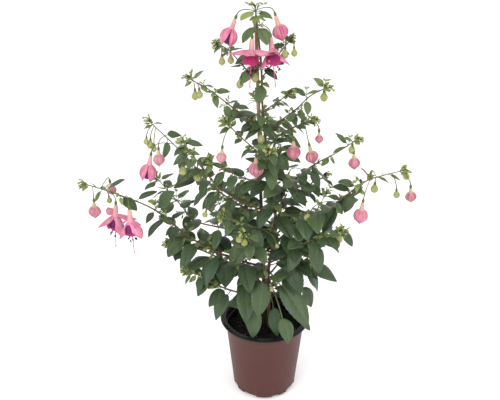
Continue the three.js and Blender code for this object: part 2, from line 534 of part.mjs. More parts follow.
/** The leaves placed one by one: an arc of the given droop from the shoot to the leaf's tip. */
function placedLeaves(owner) {
  return PLACED_LEAVES.filter(([name]) => name === owner).map(([, share, tip, droop, bare]) => {
    const root = carrierCurve(owner).getPoint(share);
    const chord = vector(tip).sub(root);
    const halfArc = radians(droop / 2);
    const length = (chord.length() * halfArc) / Math.sin(halfArc);
    const rise = THREE.MathUtils.radToDeg(Math.asin(chord.z / chord.length())) + droop / 2;
    const heading = THREE.MathUtils.radToDeg(Math.atan2(chord.y, chord.x));
    return leafBlade(root, heading, rise, length, droop, bare);
  });
}

// ---------------------------------------------------------------- flowers and buds

const carrierWood = (name, margin) => (
  name === 'main_stem' ? makeStem(margin) : branchWood(BRANCHES[name], margin));

/** Turns and moves a solid made under the origin, hanging along -Z, to a flower's place. */
function hang(flower, solid) {
  const drop = new THREE.Vector3(flower.lean[0], flower.lean[1], -1).normalize();
  const turn = new THREE.Quaternion().setFromUnitVectors(new THREE.Vector3(0, 0, -1), drop);
  return solid.transform(new THREE.Matrix4().compose(vector(flower.head), turn, vector([1, 1, 1])).elements);
}

/** The stalk from the shoot to the top of the ovary. */
function stalk(flower) {
  const start = carrierCurve(flower.on).getPoint(flower.at);
  const head = vector(flower.head);
  const drop = new THREE.Vector3(flower.lean[0], flower.lean[1], -1).normalize();
  const reach = Math.max(6, 0.45 * start.distanceTo(head));
  const bend = new THREE.QuadraticBezierCurve3(start, head.clone().addScaledVector(drop, -reach),
    head.clone().addScaledVector(drop, 1));
  return stemAlong(bend, STALK_RADIUS, STALK_RADIUS + 0.3, 4, 4);
}

/** Joins a stalk to its flower and frees it from the shoot that carries it. */
function onItsStalk(flower, solid) {
  return hang(flower, solid).add(stalk(flower)).subtract(carrierWood(flower.on, SEAT_GAP));
}

const NECK_OUTLINE = [
  [0, 0], [1, -0.4], [OVARY_RADIUS, -0.5 * OVARY_LENGTH], [TUBE_NECK_RADIUS, -OVARY_LENGTH],
];

/** Ovary, tube and four spread sepals. */
function makeCalyx(flower) {
  let calyx = turned([...NECK_OUTLINE, [TUBE_END_RADIUS, -TUBE_END], [0, -TUBE_END]], 6);
  for (const [heading, rise] of flower.sepals) {
    const turn = radians(heading);
    const root = vector([SEPAL_INSET * Math.cos(turn), SEPAL_INSET * Math.sin(turn), -SEPAL_ROOT]);
    calyx = calyx.add(bladeSolid({ root, heading, rise, droop: SEPAL_DROOP, length: SEPAL_LENGTH,
      bare: LEAF_BARE, halfWidth: SEPAL_HALF_WIDTH, stalk: SEPAL_ROOT_HALF_WIDTH }, 0));
  }
  return calyx;
}

/** The skirt of petals under the tube. */
const makeCorolla = () => turned([...SKIRT_OUTLINE, SKIRT_OUTLINE[0]].map(([r, down]) => (
  [r, -TUBE_END - SEAT_GAP - down])), 8);

/** The stamens and the longer style, fanning out from one foot inside the skirt. */
function makeStamens() {
  const top = -TUBE_END - SEAT_GAP;
  let bundle = turned([[0, top], [1.9, top], [1.5, top - 3], [0, top - 3]], 6);
  for (const [x, y, down] of STAMEN_SPREAD) {
    const line = new THREE.LineCurve3(vector([0, 0, top - 1]), vector([x, y, top - down]));
    bundle = bundle.add(sweep(4, 1, 0, (along, east, north) => (
      line.getPoint(along).add(vector([0.6 * east, 0.6 * north, 0])))));
  }
  return bundle;
}

/** Ovary, tube and sepals that have only parted at their tips. */
function makeHalfOpenCalyx() {
  return turned([
    ...NECK_OUTLINE, [3.8, -19], [4.8, -23], [8, -25], [13, -30], [14.6, -36.6], [13.2, -43.4],
    [9.4, -49.5], [8.4, -48.8], [12, -43], [13.2, -36.6], [11.8, -31], [7, -27], [0, -26],
  ], 8);
}

/** The folded petals inside a half-open flower. */
const makeFoldedCorolla = () => turned([[0, -26.4], [5.2, -27.5], [10, -31.8], [11.6, -36.6], [10.4, -42.6],
  [6.4, -47.6], [0, -49.5]], 8);

/** A closed bud: ovary, short tube and a pointed lantern of sepals. */
function makeBud({ radius, neck = BUD_NECK }) {
  const top = -OVARY_LENGTH - neck * radius;
  return turned([
    ...NECK_OUTLINE, [0.28 * radius, top], [0.78 * radius, top - 0.28 * radius], [radius, top - 0.8 * radius],
    [0.8 * radius, top - 1.42 * radius], [0, top - 2 * radius],
  ], 6);
}

// ---------------------------------------------------------------- assembly

const nodes = new Map(); // name -> { solid, finish }
const obstacles = []; // { owner, root, solid, box } for everything a leaf keeps clear of

/** True where two boxes overlap. */
const boxesMeet = (one, other) => [0, 1, 2].every((axis) => (
  one.min[axis] < other.max[axis] && other.min[axis] < one.max[axis]));

function addNode(name, solid, look) {
  nodes.set(name, { solid, look });
  obstacles.push({ owner: name, root: null, solid, box: solid.boundingBox() });
}

/** True where a leaf, with its clearance, meets only its own shoot and leaves that start beside it. */
function hasRoom(blade, owner) {
  const guard = bladeSolid(blade, LEAF_CLEARANCE);
  const box = guard.boundingBox();
  return !obstacles.some((thing) => {
    const kin = thing.owner === owner && (
      thing.root === null || thing.root.distanceTo(blade.root) < LEAF_NODE_REACH);
    return !kin && boxesMeet(box, thing.box) && !guard.intersect(thing.solid).isEmpty();
  });
}

/** The leaves of one shoot, each turned aside or left off where it has no room. */
function growLeaves(owner, leaves) {
  const grown = [];
  for (const leaf of leaves) {
    const turn = LEAF_TURNS.find((angle) => hasRoom({ ...leaf, heading: leaf.heading + angle }, owner));
    if (turn !== undefined) {
      const solid = bladeSolid({ ...leaf, heading: leaf.heading + turn }, 0);
      obstacles.push({ owner, root: leaf.root, solid, box: solid.boundingBox() });
      grown.push(solid);
    }
  }
  return grown;
}

function buildPlant() {
  const wideCane = makeCane(SEAT_GAP);
  const wideStem = makeStem(SEAT_GAP);
  addNode('pot', makePot(), [0x6b4a42, 0.45]);
  addNode('potting_soil', makeSoil(wideCane, wideStem), [0x2d2623, 0.95]);
  addNode('bamboo_cane', makeCane(0), [0xbea582, 0.6]);
  for (const [name, height] of Object.entries(TIE_HEIGHTS)) {
    addNode(name, makeTie(height), [0x5c6138, 0.5]);
  }
  addNode('main_stem', makeStem(0), WOOD_STEM_FINISH);
  for (const [name, branch] of Object.entries(BRANCHES)) {
    addNode(name, branchWood(branch, 0).subtract(wideStem).subtract(wideCane), LEAF_FINISH);
  }
}

function buildFlowers() {
  for (const [name, flower] of Object.entries(OPEN_FLOWERS)) {
    addNode(`${name}_calyx`, onItsStalk(flower, makeCalyx(flower)), [0xe08fb0, 0.45]);
    addNode(`${name}_corolla`, hang(flower, makeCorolla()), [0x5a1e50, 0.5]);
    addNode(`${name}_stamens`, hang(flower, makeStamens()), [0xc86a98, 0.5]);
  }
  for (const [name, flower] of Object.entries(HALF_OPEN_FLOWERS)) {
    addNode(`${name}_calyx`, onItsStalk(flower, makeHalfOpenCalyx()), [0xd9779b, 0.45]);
    addNode(`${name}_corolla`, hang(flower, makeFoldedCorolla()), [0x5a1e50, 0.5]);
  }
  for (const [name, bud] of Object.entries(COLOURED_BUDS)) {
    addNode(name, onItsStalk(bud, makeBud(bud)), [0xc8788c, 0.45]);
  }
}

function buildLeaves() {
  const [low, high] = [vector(WATERING_SPACE.low), vector(WATERING_SPACE.high)];
  const size = high.clone().sub(low);
  const middle = low.clone().add(high).multiplyScalar(0.5);
  const space = solidOf(new THREE.BoxGeometry(...size.toArray()).translate(...middle.toArray()));
  obstacles.push({ owner: 'watering_space', root: null, solid: space, box: space.boundingBox() });
  const paired = { main_stem: stemLeaves() };
  Object.entries(BRANCHES).forEach(([name, branch], order) => {
    paired[name] = branchLeaves(branch, 50 * (order + 1));
  });
  for (const plan of [placedLeaves, (name) => paired[name]]) {
    for (const name of Object.keys(paired)) {
      const node = nodes.get(name);
      node.solid = wasm.Manifold.union([node.solid, ...growLeaves(name, plan(name))]);
    }
  }
}

buildPlant();
buildFlowers();
buildLeaves();

const plant = new THREE.Group();
for (const [name, { solid, look }] of nodes) {
  const mesh = new THREE.Mesh(geometryOf(solid), finish(...look));
  mesh.name = name;
  plant.add(mesh);
}

export default plant;
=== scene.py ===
"""A standing fuchsia in flower, in a nursery pot: its looks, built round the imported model.

Sizes are in millimetres until a piece is made, when they become metres. -Y is towards the viewer.
"""
import math

import bpy
import numpy as np
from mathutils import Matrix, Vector
from mathutils.kdtree import KDTree


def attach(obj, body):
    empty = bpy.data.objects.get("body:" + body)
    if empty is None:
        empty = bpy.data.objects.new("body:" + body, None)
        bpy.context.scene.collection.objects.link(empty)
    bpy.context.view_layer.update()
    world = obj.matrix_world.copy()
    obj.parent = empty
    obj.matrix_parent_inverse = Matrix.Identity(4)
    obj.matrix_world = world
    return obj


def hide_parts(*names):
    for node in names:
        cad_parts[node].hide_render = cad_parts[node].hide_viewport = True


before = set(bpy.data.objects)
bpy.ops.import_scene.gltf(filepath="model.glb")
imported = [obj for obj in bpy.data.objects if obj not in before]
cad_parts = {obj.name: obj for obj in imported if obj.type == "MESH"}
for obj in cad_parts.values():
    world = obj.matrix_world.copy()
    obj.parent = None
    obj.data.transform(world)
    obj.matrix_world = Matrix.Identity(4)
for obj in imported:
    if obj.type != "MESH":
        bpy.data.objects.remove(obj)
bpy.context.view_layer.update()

# ---------------------------------------------------------------- view and light

CAMERA_PLACE = (0, -1190, 984)
CAMERA_DOWN = 26.1  # degrees below the horizon
CAMERA_LEFT = 1.37  # degrees to the left of +Y
CAMERA_LENS = 53.7
CAMERA_FAR = 100  # metres
FLOOR_SIZE = 12000
# painted light: the floor's own faint glow, which washes out the plant's shadow
FLOOR_GLOW = 0.12
WORLD_LIGHT = 1.0
KEY_LIGHT = (-900, -1500, 1900)
KEY_SIZE = 1400
KEY_POWER = 20  # watts
FILL_LIGHT = (1500, -600, 1300)
FILL_SIZE = 1600
FILL_POWER = 8
LIGHT_AIM = 465  # height that both lamps look at

# ---------------------------------------------------------------- driving dimensions

MM = 0.001
UP = np.array([0.0, 0.0, 1.0])
NEARLY_UP = UP + (0.02, 0.01, 0)  # never in line with a twig
WHITE = (1, 1, 1, 1)
NEARBY = 1e-4  # share of a line over which its direction is taken

POT_HEIGHT = 155
POT_LIP_RADIUS = 85
POT_LIP_THICKNESS = 2.4
POT_COLLAR_RADIUS = 75.6
POT_COLLAR_HEIGHT = 18
POT_BODY_TOP_RADIUS = 74
POT_FOOT_RADIUS = 60.4
POT_FOOT_CHAMFER = 5
POT_WALL = 1.8
POT_FLOOR = 2.4
POT_FLOOR_RAISE = 4
POT_HUB_RADIUS = 18
POT_FOOT_RING = 9
POT_NOTCH_TURNS = 4  # how often the pair of notches comes back round the foot
POT_NOTCHES = ((-119, 27), (-67, 13))  # heading in degrees and width of each
POT_NOTCH_RISE = 4.6
POT_NOTCH_INSET = 2.8
POT_SIDES = 240

SOIL_TOP = 131
SOIL_RELIEF = 2.4
SOIL_SPECKS = ((420, (0.9, 2.6), 0), (34, (0.8, 1.6), 1))  # number, radii, and 1 for perlite
SOIL_SEED = 5
LIP_SEED = 11
CRUMBS_ON_LIP = [  # place on the lip and radius
    (-70, -44, 3.4), (-73, -38, 2.6), (-65, -49, 2.2), (-76, -31, 1.8), (-61, -54, 1.6)]

CANE_RADIUS = 3.1
CANE_FOOT = (3, 7, 20)
CANE_HEAD = (-19, 6, 714)
CANE_JOINTS = (0.16, 0.37, 0.585, 0.8)  # shares along it
CANE_DARK_BELOW = 430

STEM_BASE_RADIUS = 3.6
STEM_TIP_RADIUS = 1.2
SHOOT_TIP_RADIUS = 0.8
STALK_RADIUS = 0.6
STEM_SEED = 400
SHOOT_SEED_STEP = 50
NODE_SWELLING = 0.28  # share of a stem's radius, where leaves sit
NODE_LENGTH = 2.2
TIE_HEIGHTS = {"tie_upper": 605, "tie_lower": 300}
TIE_WIRE_RADIUS = 0.9
TIE_TAIL = 9
TIE_TAIL_POINTS = 33
WOOD_SIDES = 10
CREASE_ANGLE = 40  # degrees, above which an edge stays sharp

LEAF_WIDTH_RATIO = 0.48
LEAF_WIDTH_MAX = 38
LEAF_STALK = 0.16  # share of a leaf's length, where none is given
LEAF_SPREAD = 56  # degrees between a leaf and its shoot
LEAF_STEEPEST = 38  # degrees at which a paired leaf can set off upwards
LEAF_TURNS = (0, 10, -10, 22, -22, 38, -38, 56, -56)  # degrees a crowded leaf can turn by
LEAF_ROLL = 26  # degrees by which it can lean about its midrib
LEAF_TOOTH = 0.02  # share of its half width
LARGE_LEAF = 34  # length of a face above which a leaf is large
LEAF_GRIDS = ((29, 13), (9, 7))  # rows and columns of a large and a small leaf
LEAF_POINTS = (0.92, 1.15)  # how fast each narrows towards the tip
LEAF_FULLNESS = (0.78, 1.04)  # times the usual width
LEAF_FOLD = (0.1, 0.5)  # rise of each half over its width
LEAF_CURL = (0.22, 0.52)  # droop of its edge over its width
LEAF_TIP_RISE = (-0.05, 0.07)  # share of the face's length, as are the next two
LEAF_PUCKER = 0.014
LEAF_BOW = 0.1
PAIR_ROLLS = (8, 62)  # degrees round the shoot, for the pairs in turn
PAIR_ROLL_LUCK = 30  # degrees
PAIR_LENGTHS = (0.85, 1.15)  # times the planned length
STEM_LEAF_RISE = (30, 6)  # degrees, as is the droop
STEM_LEAF_LENGTHS = (0.88, 1.12)  # times the planned length
STEM_LEAF_DROOP = (50, 70)
LEAF_THICKNESS = 0.35
LEAF_VEINS = 7  # on each side of the midrib
VEIN_SWEEP = 0.24  # share of the face by which they run towards the tip
LEAF_MATCH = 0.3  # between a leaf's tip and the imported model's
ARC_STEPS = 24  # slopes averaged to find a point on a blade

STEM_ROUTE = [
    (7, -4, 70), (7, -4, 190), (5, -4, 245), (9, -4, 286), (17, -4, 339), (15, -4, 411),
    (4, -4, 481), (-6, -4, 551), (-10, -4, 645), (-17, -4, 711), (-20, -4, 738),
]

# Shoots: where each leaves the main stem, its radius there, its leaf pairs, the shares of its
# length that they span, their lengths from foot to tip, and its route.
SHOOTS = {
    "shoot_top_left": (618, 1.2, 3, (0.4, 0.94), (28, 18), [
        (-28, -2, 632), (-48, 14, 650), (-66, 20, 667), (-82, 20, 675)]),
    "shoot_top_right": (626, 1.2, 3, (0.4, 0.94), (28, 18), [
        (6, 4, 644), (22, 13, 666), (38, 14, 686)]),
    "left_top": (532, 1.4, 4, (0.08, 0.38), (36, 22), [
        (-33, -10, 558), (-64, -20, 586), (-96, -25, 613), (-126, -30, 632)]),
    "left_upper": (352, 1.8, 9, (0.1, 0.74), (68, 28), [
        (-40, 2, 385), (-95, 14, 420), (-140, 4, 482), (-195, -22, 555)]),
    "left_mid": (378, 1.6, 8, (0.12, 0.95), (64, 26), [
        (-30, -22, 402), (-80, -34, 440), (-110, -42, 485), (-138, -52, 532)]),
    "left_long": (262, 2.2, 8, (0.12, 0.54), (84, 30), [
        (-70, -12, 292), (-133, -22, 334), (-192, -42, 400), (-251, -58, 437), (-302, -72, 463)]),
    "left_rear": (318, 1.8, 8, (0.14, 0.96), (70, 30), [
        (-30, -2, 324), (-72, 14, 334), (-131, 26, 344), (-154, 30, 372), (-178, 34, 400),
        (-198, 38, 425)]),
    "left_inner": (432, 1.3, 6, (0.14, 0.94), (48, 28), [
        (-39, -14, 450), (-73, -28, 474), (-96, -36, 492)]),
    "left_low": (204, 1.7, 4, (0.4, 0.92), (70, 18), [
        (-50, -24, 222), (-96, -44, 254), (-112, -54, 274), (-140, -64, 290)]),
    "left_side": (236, 1.8, 5, (0.32, 0.86), (94, 36), [
        (-60, 8, 262), (-120, -4, 300), (-176, -24, 326)]),
    "left_crown": (486, 1.3, 5, (0.16, 0.95), (36, 20), [
        (-14, -26, 504), (-36, -34, 527), (-58, -36, 550), (-68, -38, 562)]),
    "right_high": (568, 1.1, 4, (0.4, 0.95), (30, 18), [
        (8, -10, 580), (24, -16, 594), (36, -20, 606)]),
    "right_crown": (500, 1.3, 6, (0.16, 0.95), (40, 20), [
        (22, -18, 532), (50, -24, 550), (77, -26, 562)]),
    "right_top": (522, 1.4, 3, (0.08, 0.36), (40, 22), [
        (24, -14, 556), (48, -20, 578), (70, -24, 602), (96, -28, 618)]),
    "right_upper": (414, 1.6, 6, (0.1, 0.44), (62, 28), [
        (40, -14, 440), (80, -20, 478), (115, -26, 502), (150, -32, 530)]),
    "right_long": (312, 2, 7, (0.08, 0.4), (76, 34), [
        (61, -18, 369), (109, -30, 401), (138, -38, 431), (168, -44, 460), (190, -48, 471),
        (227, -56, 486)]),
    "right_inner": (358, 1.5, 6, (0.16, 0.95), (60, 30), [
        (34, 20, 384), (66, 26, 412), (104, 20, 440)]),
    "right_mid": (274, 1.8, 6, (0.34, 0.95), (80, 36), [
        (40, -30, 309), (72, -54, 347), (102, -68, 365), (127, -80, 384)]),
    "right_low": (236, 1.8, 3, (0.62, 0.92), (90, 56), [
        (30, -14, 256), (52, -22, 276), (74, -30, 292)]),
    "front_low": (250, 1.7, 3, (0.66, 0.95), (54, 34), [
        (-6, -38, 296), (-21, -76, 348), (-36, -104, 391)]),
    "front_mid": (342, 1.6, 7, (0.12, 0.95), (66, 32), [
        (-8, -36, 362), (-40, -72, 392), (-72, -102, 420)]),
    "front_upper": (462, 1.3, 6, (0.14, 0.94), (48, 26), [
        (2, -34, 484), (6, -60, 508), (4, -82, 530)]),
    "rear_low_left": (228, 1.8, 6, (0.34, 0.96), (88, 38), [
        (-18, -2, 238), (-40, 40, 258), (-70, 90, 292), (-96, 138, 334)]),
    "rear_low_right": (246, 1.8, 7, (0.2, 0.96), (84, 38), [
        (38, 32, 270), (80, 80, 306), (118, 134, 352)]),
    "rear_mid": (330, 1.7, 8, (0.2, 0.96), (72, 30), [
        (36, 20, 348), (34, 66, 388), (20, 116, 436), (10, 152, 478)]),
    "rear_upper": (470, 1.4, 6, (0.2, 0.95), (52, 28), [
        (16, 14, 488), (2, 52, 522), (-24, 90, 562)]),
}

# Leaf pairs on the main stem: height, heading of the first leaf in degrees, length.
STEM_PAIRS = [
    (196, 20, 84), (214, 150, 76), (268, 15, 80), (290, 340, 70), (306, 165, 74),
    (330, 230, 64), (350, 40, 64), (372, 300, 60), (392, 200, 58), (418, 265, 54), (440, 30, 52),
    (464, 220, 50), (488, 285, 46), (514, 240, 44), (540, 35, 40), (562, 265, 36), (640, 150, 32),
]

# Leaves placed one by one: share along the shoot, where the tip is, how far it bends down, and for
# a leaf on a long stalk the stalk's share of its length.
PLACED_LEAVES = {
    "left_side": [(0.4, -70, -84, 266, 50), (0.52, -144, -50, 280, 40),
        (0.74, -158, -34, 296, 30), (0.22, -34, -66, 181, 30)],
    "left_low": [(0.35, -101, -70, 219, 50), (0.31, -89, -52, 179, 45), (0.72, -122, -66, 250, 20),
        (0.84, -136, -66, 268, 20), (0.12, -21, -60, 145, 30, 0.3)],
    "front_low": [(0.2, -14, -76, 204, 25, 0.3)],
    "main_stem": [(0.16, 25, -56, 145, 30, 0.45), (0.18, 84, -46, 153, 40, 0.7),
        (0.23, 78, -80, 182, 25, 0.3), (0.2, 43, -96, 160, 35, 0.65),
        (0.98, -42, -34, 725, 60), (0.97, 8, -10, 722, 50),
        (0.9, -41, -26, 689, 40), (0.9, 3, -24, 685, 40), (0.82, -53, -12, 649, 40),
        (0.81, -49, -18, 613, 60), (0.82, 29, -20, 626, 60), (0.78, 10, -12, 608, 45),
        (0.77, -13, -40, 592, 40), (0.76, 28, -18, 586, 30), (0.71, -75, -10, 552, 30),
        (0.7, 20, -22, 525, 30), (0.7, -32, -16, 539, 30), (0.58, -16, -28, 448, 30)],
    "right_low": [(0.4, 89, -12, 182, 40, 0.5), (0.97, 131, -44, 262, 20), (0.8, 94, -38, 260, 30),
        (0.3, 58, -46, 228, 20)],
    "right_mid": [(0.2, 64, -74, 252, 45), (0.56, 94, -76, 296, 20), (0.44, 40, -78, 300, 20)],
    "right_long": [(0.2, 94, -44, 309, 45), (0.58, 120, -46, 459, 70), (0.62, 158, -48, 466, 50),
        (0.55, 112, -40, 448, 10), (0.64, 143, -52, 434, 15), (0.72, 153, -50, 489, 20),
        (0.86, 191, -54, 482, 50), (0.8, 204, -56, 462, 40), (0.9, 222, -58, 468, 20),
        (0.56, 133, -52, 403, 20), (0.5, 124, -50, 388, 15), (0.44, 105, -34, 426, 40),
        (0.42, 100, -50, 362, 10), (0.4, 128, -46, 374, 20)],
    "rear_low_right": [(0.54, 91, 40, 249, 15)],
    "shoot_top_right": [(0.87, 4, 2, 673, 20)],
    "shoot_top_left": [(0.74, -40, 14, 669, 30), (0.85, -60, 16, 658, 30)],
    "left_top": [(0.96, -101, -29, 644, 40), (0.81, -86, -34, 617, 70),
        (0.85, -97, -41, 612, 40), (0.67, -59, -27, 608, 60), (0.68, -80, -38, 584, 20),
        (0.51, -46, -26, 594, 10), (0.42, -28, -21, 578, 60), (0.44, -54, -32, 566, 30),
        (0.52, -66, -28, 560, 20)],
    "right_top": [(0.96, 73, -27, 633, 50), (0.91, 63, -37, 607, 40), (0.7, 39, -23, 615, 50),
        (0.69, 66, -39, 573, 15), (0.43, 47, -35, 553, 15), (0.5, 62, -30, 558, 40),
        (0.22, 41, -21, 540, 30)],
    "right_crown": [(0.4, 57, -26, 512, 20)],
    "left_upper": [(0.98, -173, -22, 550, 60), (0.9, -143, -15, 519, 60),
        (0.88, -169, -25, 489, 15), (0.6, -164, 4, 420, 20)],
    "left_mid": [(0.97, -106, -40, 518, 60), (0.9, -110, -46, 505, 30),
        (0.88, -155, -54, 490, 20), (0.74, -100, -52, 462, 20)],
    "left_inner": [(0.66, -95, -34, 484, 40), (0.85, -78, -45, 465, 30)],
    "left_rear": [(0.68, -119, 22, 390, 20), (0.6, -143, 14, 322, 15)],
    "left_long": [(0.86, -234, -65, 466, 60), (0.89, -289, -70, 426, 20),
        (0.93, -292, -78, 466, 50), (0.78, -206, -72, 421, 15), (0.6, -155, -50, 440, 10),
        (0.6, -207, -56, 380, 20), (0.58, -165, -50, 373, 20), (0.48, -177, -35, 345, 50),
        (0.7, -186, -40, 436, 40)],
    "right_upper": [(0.95, 125, -34, 532, 80), (0.9, 113, -26, 540, 30),
        (0.89, 110, -39, 507, 30), (0.69, 92, -38, 483, 10), (0.69, 115, -33, 485, 60),
        (0.47, 91, -31, 440, 10), (0.46, 89, -23, 466, 30)],
}

# Flowers: the shoot that carries each, the share along it, the top of the ovary, the lean, and
# for an open one the heading and slope of each sepal. A pink bud has its radius instead, and the
# length of its neck over that radius.
OPEN_FLOWERS = {
    "flower_top_front": ("main_stem", 0.925, (-24, -26, 703), (-0.06, -0.05),
        [(192, 4), (338, 14), (262, 12), (100, -6)]),
    "flower_top_right": ("main_stem", 0.905, (4, -16, 703), (0.1, -0.15),
        [(350, -32), (280, 14), (216, -38), (84, 0)]),
    "flower_left_outer": ("left_long", 0.84, (-253, -68, 430), (-0.08, -0.06),
        [(196, -24), (306, -38), (20, -2), (120, 8)]),
    "flower_left_inner": ("left_long", 0.76, (-224, -104, 440), (0.04, -0.1),
        [(208, -40), (318, -30), (70, -24), (122, -10)]),
}
COROLLAS = {  # violet share, layers of petals, radius at the hem and length
    "flower_top_front": (0.15, 2, 14, 19), "flower_top_right": (0.55, 3, 16.5, 22),
    "flower_left_outer": (1, 2, 14.6, 21), "flower_left_inner": (0.95, 2, 15, 21.5),
}
HALF_OPEN_FLOWERS = {
    "flower_top_left": ("main_stem", 0.985, (-49, -10, 730), (-0.38, -0.1)),
    "flower_left_mid": ("left_upper", 0.84, (-192, -42, 509), (-0.2, -0.1)),
}
COLOURED_BUDS = {
    "bud_top_right": ("main_stem", 0.99, (10, -6, 734), (0.32, -0.05), 13, 1.15),
    "bud_left_upper": ("left_upper", 0.9, (-180, -40, 518), (0, -0.1), 10, 0.75),
    "bud_left_end": ("left_long", 0.95, (-285, -88, 444), (0, -0.05), 10.5, 0.75),
    "bud_left_rear": ("left_long", 0.9, (-266, -44, 459), (0.1, 0.05), 8.5, 0.75),
    "bud_inner_left": ("left_crown", 0.8, (-72, -56, 528), (-0.1, -0.1), 9, 0.75),
    "bud_middle": ("front_upper", 0.5, (-17, -52, 512), (0, -0.1), 13, 0.75),
    "bud_right_inner": ("right_crown", 0.55, (44, -36, 535), (0.05, -0.1), 12, 0.75),
    "bud_right_upper": ("right_crown", 0.82, (70, -32, 524), (0.25, 0), 11, 0.9),
    "bud_right_top": ("right_crown", 0.96, (86, -34, 550), (0.05, -0.05), 7, 0.75),
    "bud_right_side": ("right_upper", 0.93, (145, -34, 512), (0.1, -0.05), 10, 0.75),
    "bud_right_low": ("right_long", 0.72, (165, -52, 431), (-0.1, -0.05), 13, 1.05),
    "bud_right_end": ("right_long", 0.97, (240, -60, 462), (0.1, 0), 9.5, 0.75),
}

# Green buds: the shoot that carries each, the share along it, the bud's middle and its radius.
GREEN_BUDS = [
    ("shoot_top_left", 0.9, (-73, -20, 661), 6), ("shoot_top_left", 0.68, (-59, -16, 662), 6),
    ("shoot_top_right", 0.86, (28, -16, 672), 6.5), ("shoot_top_right", 0.97, (42, -16, 674), 5.5),
    ("shoot_top_left", 0.3, (-43, -15, 622), 6.5), ("main_stem", 0.82, (-19, -20, 634), 6.5),
    ("left_top", 0.94, (-117, -30, 606), 6.5), ("left_top", 0.9, (-110, -30, 608), 6),
    ("right_top", 0.97, (93, -20, 602), 7), ("left_long", 0.87, (-266, -60, 429), 5),
    ("left_long", 0.8, (-241, -60, 424), 4.5), ("left_mid", 0.88, (-139, -40, 477), 7.5),
    ("left_mid", 0.8, (-116, -40, 467), 8), ("left_upper", 0.97, (-194, -30, 520), 6),
    ("left_upper", 0.98, (-200, -32, 526), 5), ("left_upper", 0.96, (-188, -34, 514), 5),
    ("main_stem", 0.71, (-9, -30, 532), 6.5), ("left_crown", 0.31, (-9, -30, 500), 6.5),
    ("right_crown", 0.3, (12, -30, 512), 5), ("right_upper", 0.42, (39, -30, 462), 5),
    ("front_mid", 0.97, (-99, -84, 415), 5), ("front_mid", 0.93, (-73, -88, 413), 6),
    ("front_mid", 0.86, (-65, -88, 400), 6), ("front_low", 0.98, (-43, -100, 380), 6.5),
    ("front_low", 0.93, (-35, -100, 373), 6), ("right_long", 0.8, (176, -40, 468), 6),
    ("right_long", 0.79, (184, -40, 447), 7), ("right_mid", 1.0, (124, -84, 374), 7),
    ("right_long", 0.98, (232, -52, 476), 6), ("right_long", 0.92, (219, -50, 441), 6),
    ("right_upper", 0.97, (143, -30, 514), 6.5), ("right_long", 0.42, (76, -50, 396), 6),
    ("front_low", 0.2, (11, -50, 250), 4), ("front_mid", 0.36, (18, -60, 344), 4),
]

FACE_VIEWER = 28  # degrees by which blades roll to face outwards, to the front or the back
BACK_BEYOND = 20  # where the blades that face the back begin
TIP_LEAVES = 7  # young leaves at the end of each shoot
LIGHT_AND_YOUTH_HEIGHTS = (300, 680)  # between which leaves turn lighter and yellower: partly younger growth, partly painted light from above
HIGHEST_LIGHT_AND_YOUTH = 0.13
YOUNG_ABOVE = 0.975  # share of a shoot beyond which its leaves are young
CROWN_TWIGS = np.array([[-34.0, -10, 747], [-7, -4, 745]])  # the ends of the two top twigs
CROWN_LEAVES = [(-30, -14, 722), (-5, -12, 724), (-11, -16, 717), (-22, -20, 716), (-2, -4, 719)]
TWIG_SHARE = 0.62  # of the leaves that have a twig in their axil
TWIG_REACH = (7, 29)  # between these, as luck has it
TWIG_RADII = (0.6, 0.35)  # at its foot and its end
TWIG_LEAF_LENGTH = (9, 19)
TIP_LEAF_LENGTH = 17
TIP_BUDS = 5  # tiny green ones at the end of each shoot
TIP_BUD_REACH = (5, 10)
TIP_BUD_RADIUS = (1.3, 2.5)
CROWN_TWIG_RADII = (0.5, 0.3)

OVARY_OUTLINE = [(0.9, 0.6), (1.5, -0.8), (2.4, -3.4), (2.3, -5.4), (1.7, -7.2)]
TUBE_OUTLINE = [(2, -7), (3.2, -8.8), (3.9, -13), (4.2, -18), (4.6, -24), (5.3, -28.5), (3.6, -29)]
TUBE_END = 28.5
SEPAL_ROOT = 24.5
SEPAL_INSET = 1.3
SEPAL_LENGTH = 38
SEPAL_HALF_WIDTH = 10
SEPAL_DROOP = 44
SEPAL_THICKNESS = 0.8
SEPAL_ROLL = 0.9  # times the leaves' roll, for one that hangs to the right
PETAL_THICKNESS = 0.4
LANTERN_OUTLINE = [
    (3.2, -22), (7.6, -24.6), (12.8, -30), (14.4, -36.6), (12.8, -43.4), (9, -48.4), (6.8, -51)]
LANTERN_PARTING = ((0, 0.3, 0.6, 1), (0.785, 0.77, 0.62, 0.08))  # half a sepal's angle, along it
LANTERN_TUBE = [(1.8, -7), (3, -9.5), (3.3, -14), (3.8, -19), (4.8, -23.4), (4.4, -24)]
FOLDED_OUTLINE = [
    (0.6, -24), (5, -25.6), (10, -30.4), (11.8, -36.4), (10.2, -42.6), (6, -47), (0.8, -49)]
PETAL_LAYERS = ((4, 0.98), (3, 1.2), (3, 1.2))  # from outside in: petals, half the angle of each
LAYER_SHORTER = 1.4  # than the layer outside it
LAYER_NARROWER = 2.6  # at the hem, than the layer outside it
STAMENS = 8
STAMEN_SPREAD = (4.95, 13.2)
STAMEN_REACH = (27, 34)  # below the end of the tube
FILAMENT_RADII = (0.45, 0.3)
STYLE_RADII = (0.8, 0.7)
STYLE_REACH = 56
ANTHER_OUTLINE = [(0.1, 2.5), (1, 1.8), (1.2, 0), (1, -1.8), (0.1, -2.5)]
KNOB_OUTLINE = [(0.1, 1.8), (1.4, 0.6), (1.6, -0.8), (0.9, -2.2), (0.1, -2.6)]
BUD_GROOVE = 0.05  # depth of the seams over a bud's radius
CALYX_LOOKS = ("sepal", "sepal_in", "stalk", "tube")

# ---------------------------------------------------------------- small geometry helpers


def unit(vectors):
    """Vectors of the same directions, one long."""
    return vectors / np.linalg.norm(vectors, axis=-1, keepdims=True)


def wobble(seed):
    """A repeatable number from 0 to 1 for a seed."""
    wave = math.sin(seed * 12.9898) * 43758.5453
    return wave - math.floor(wave)


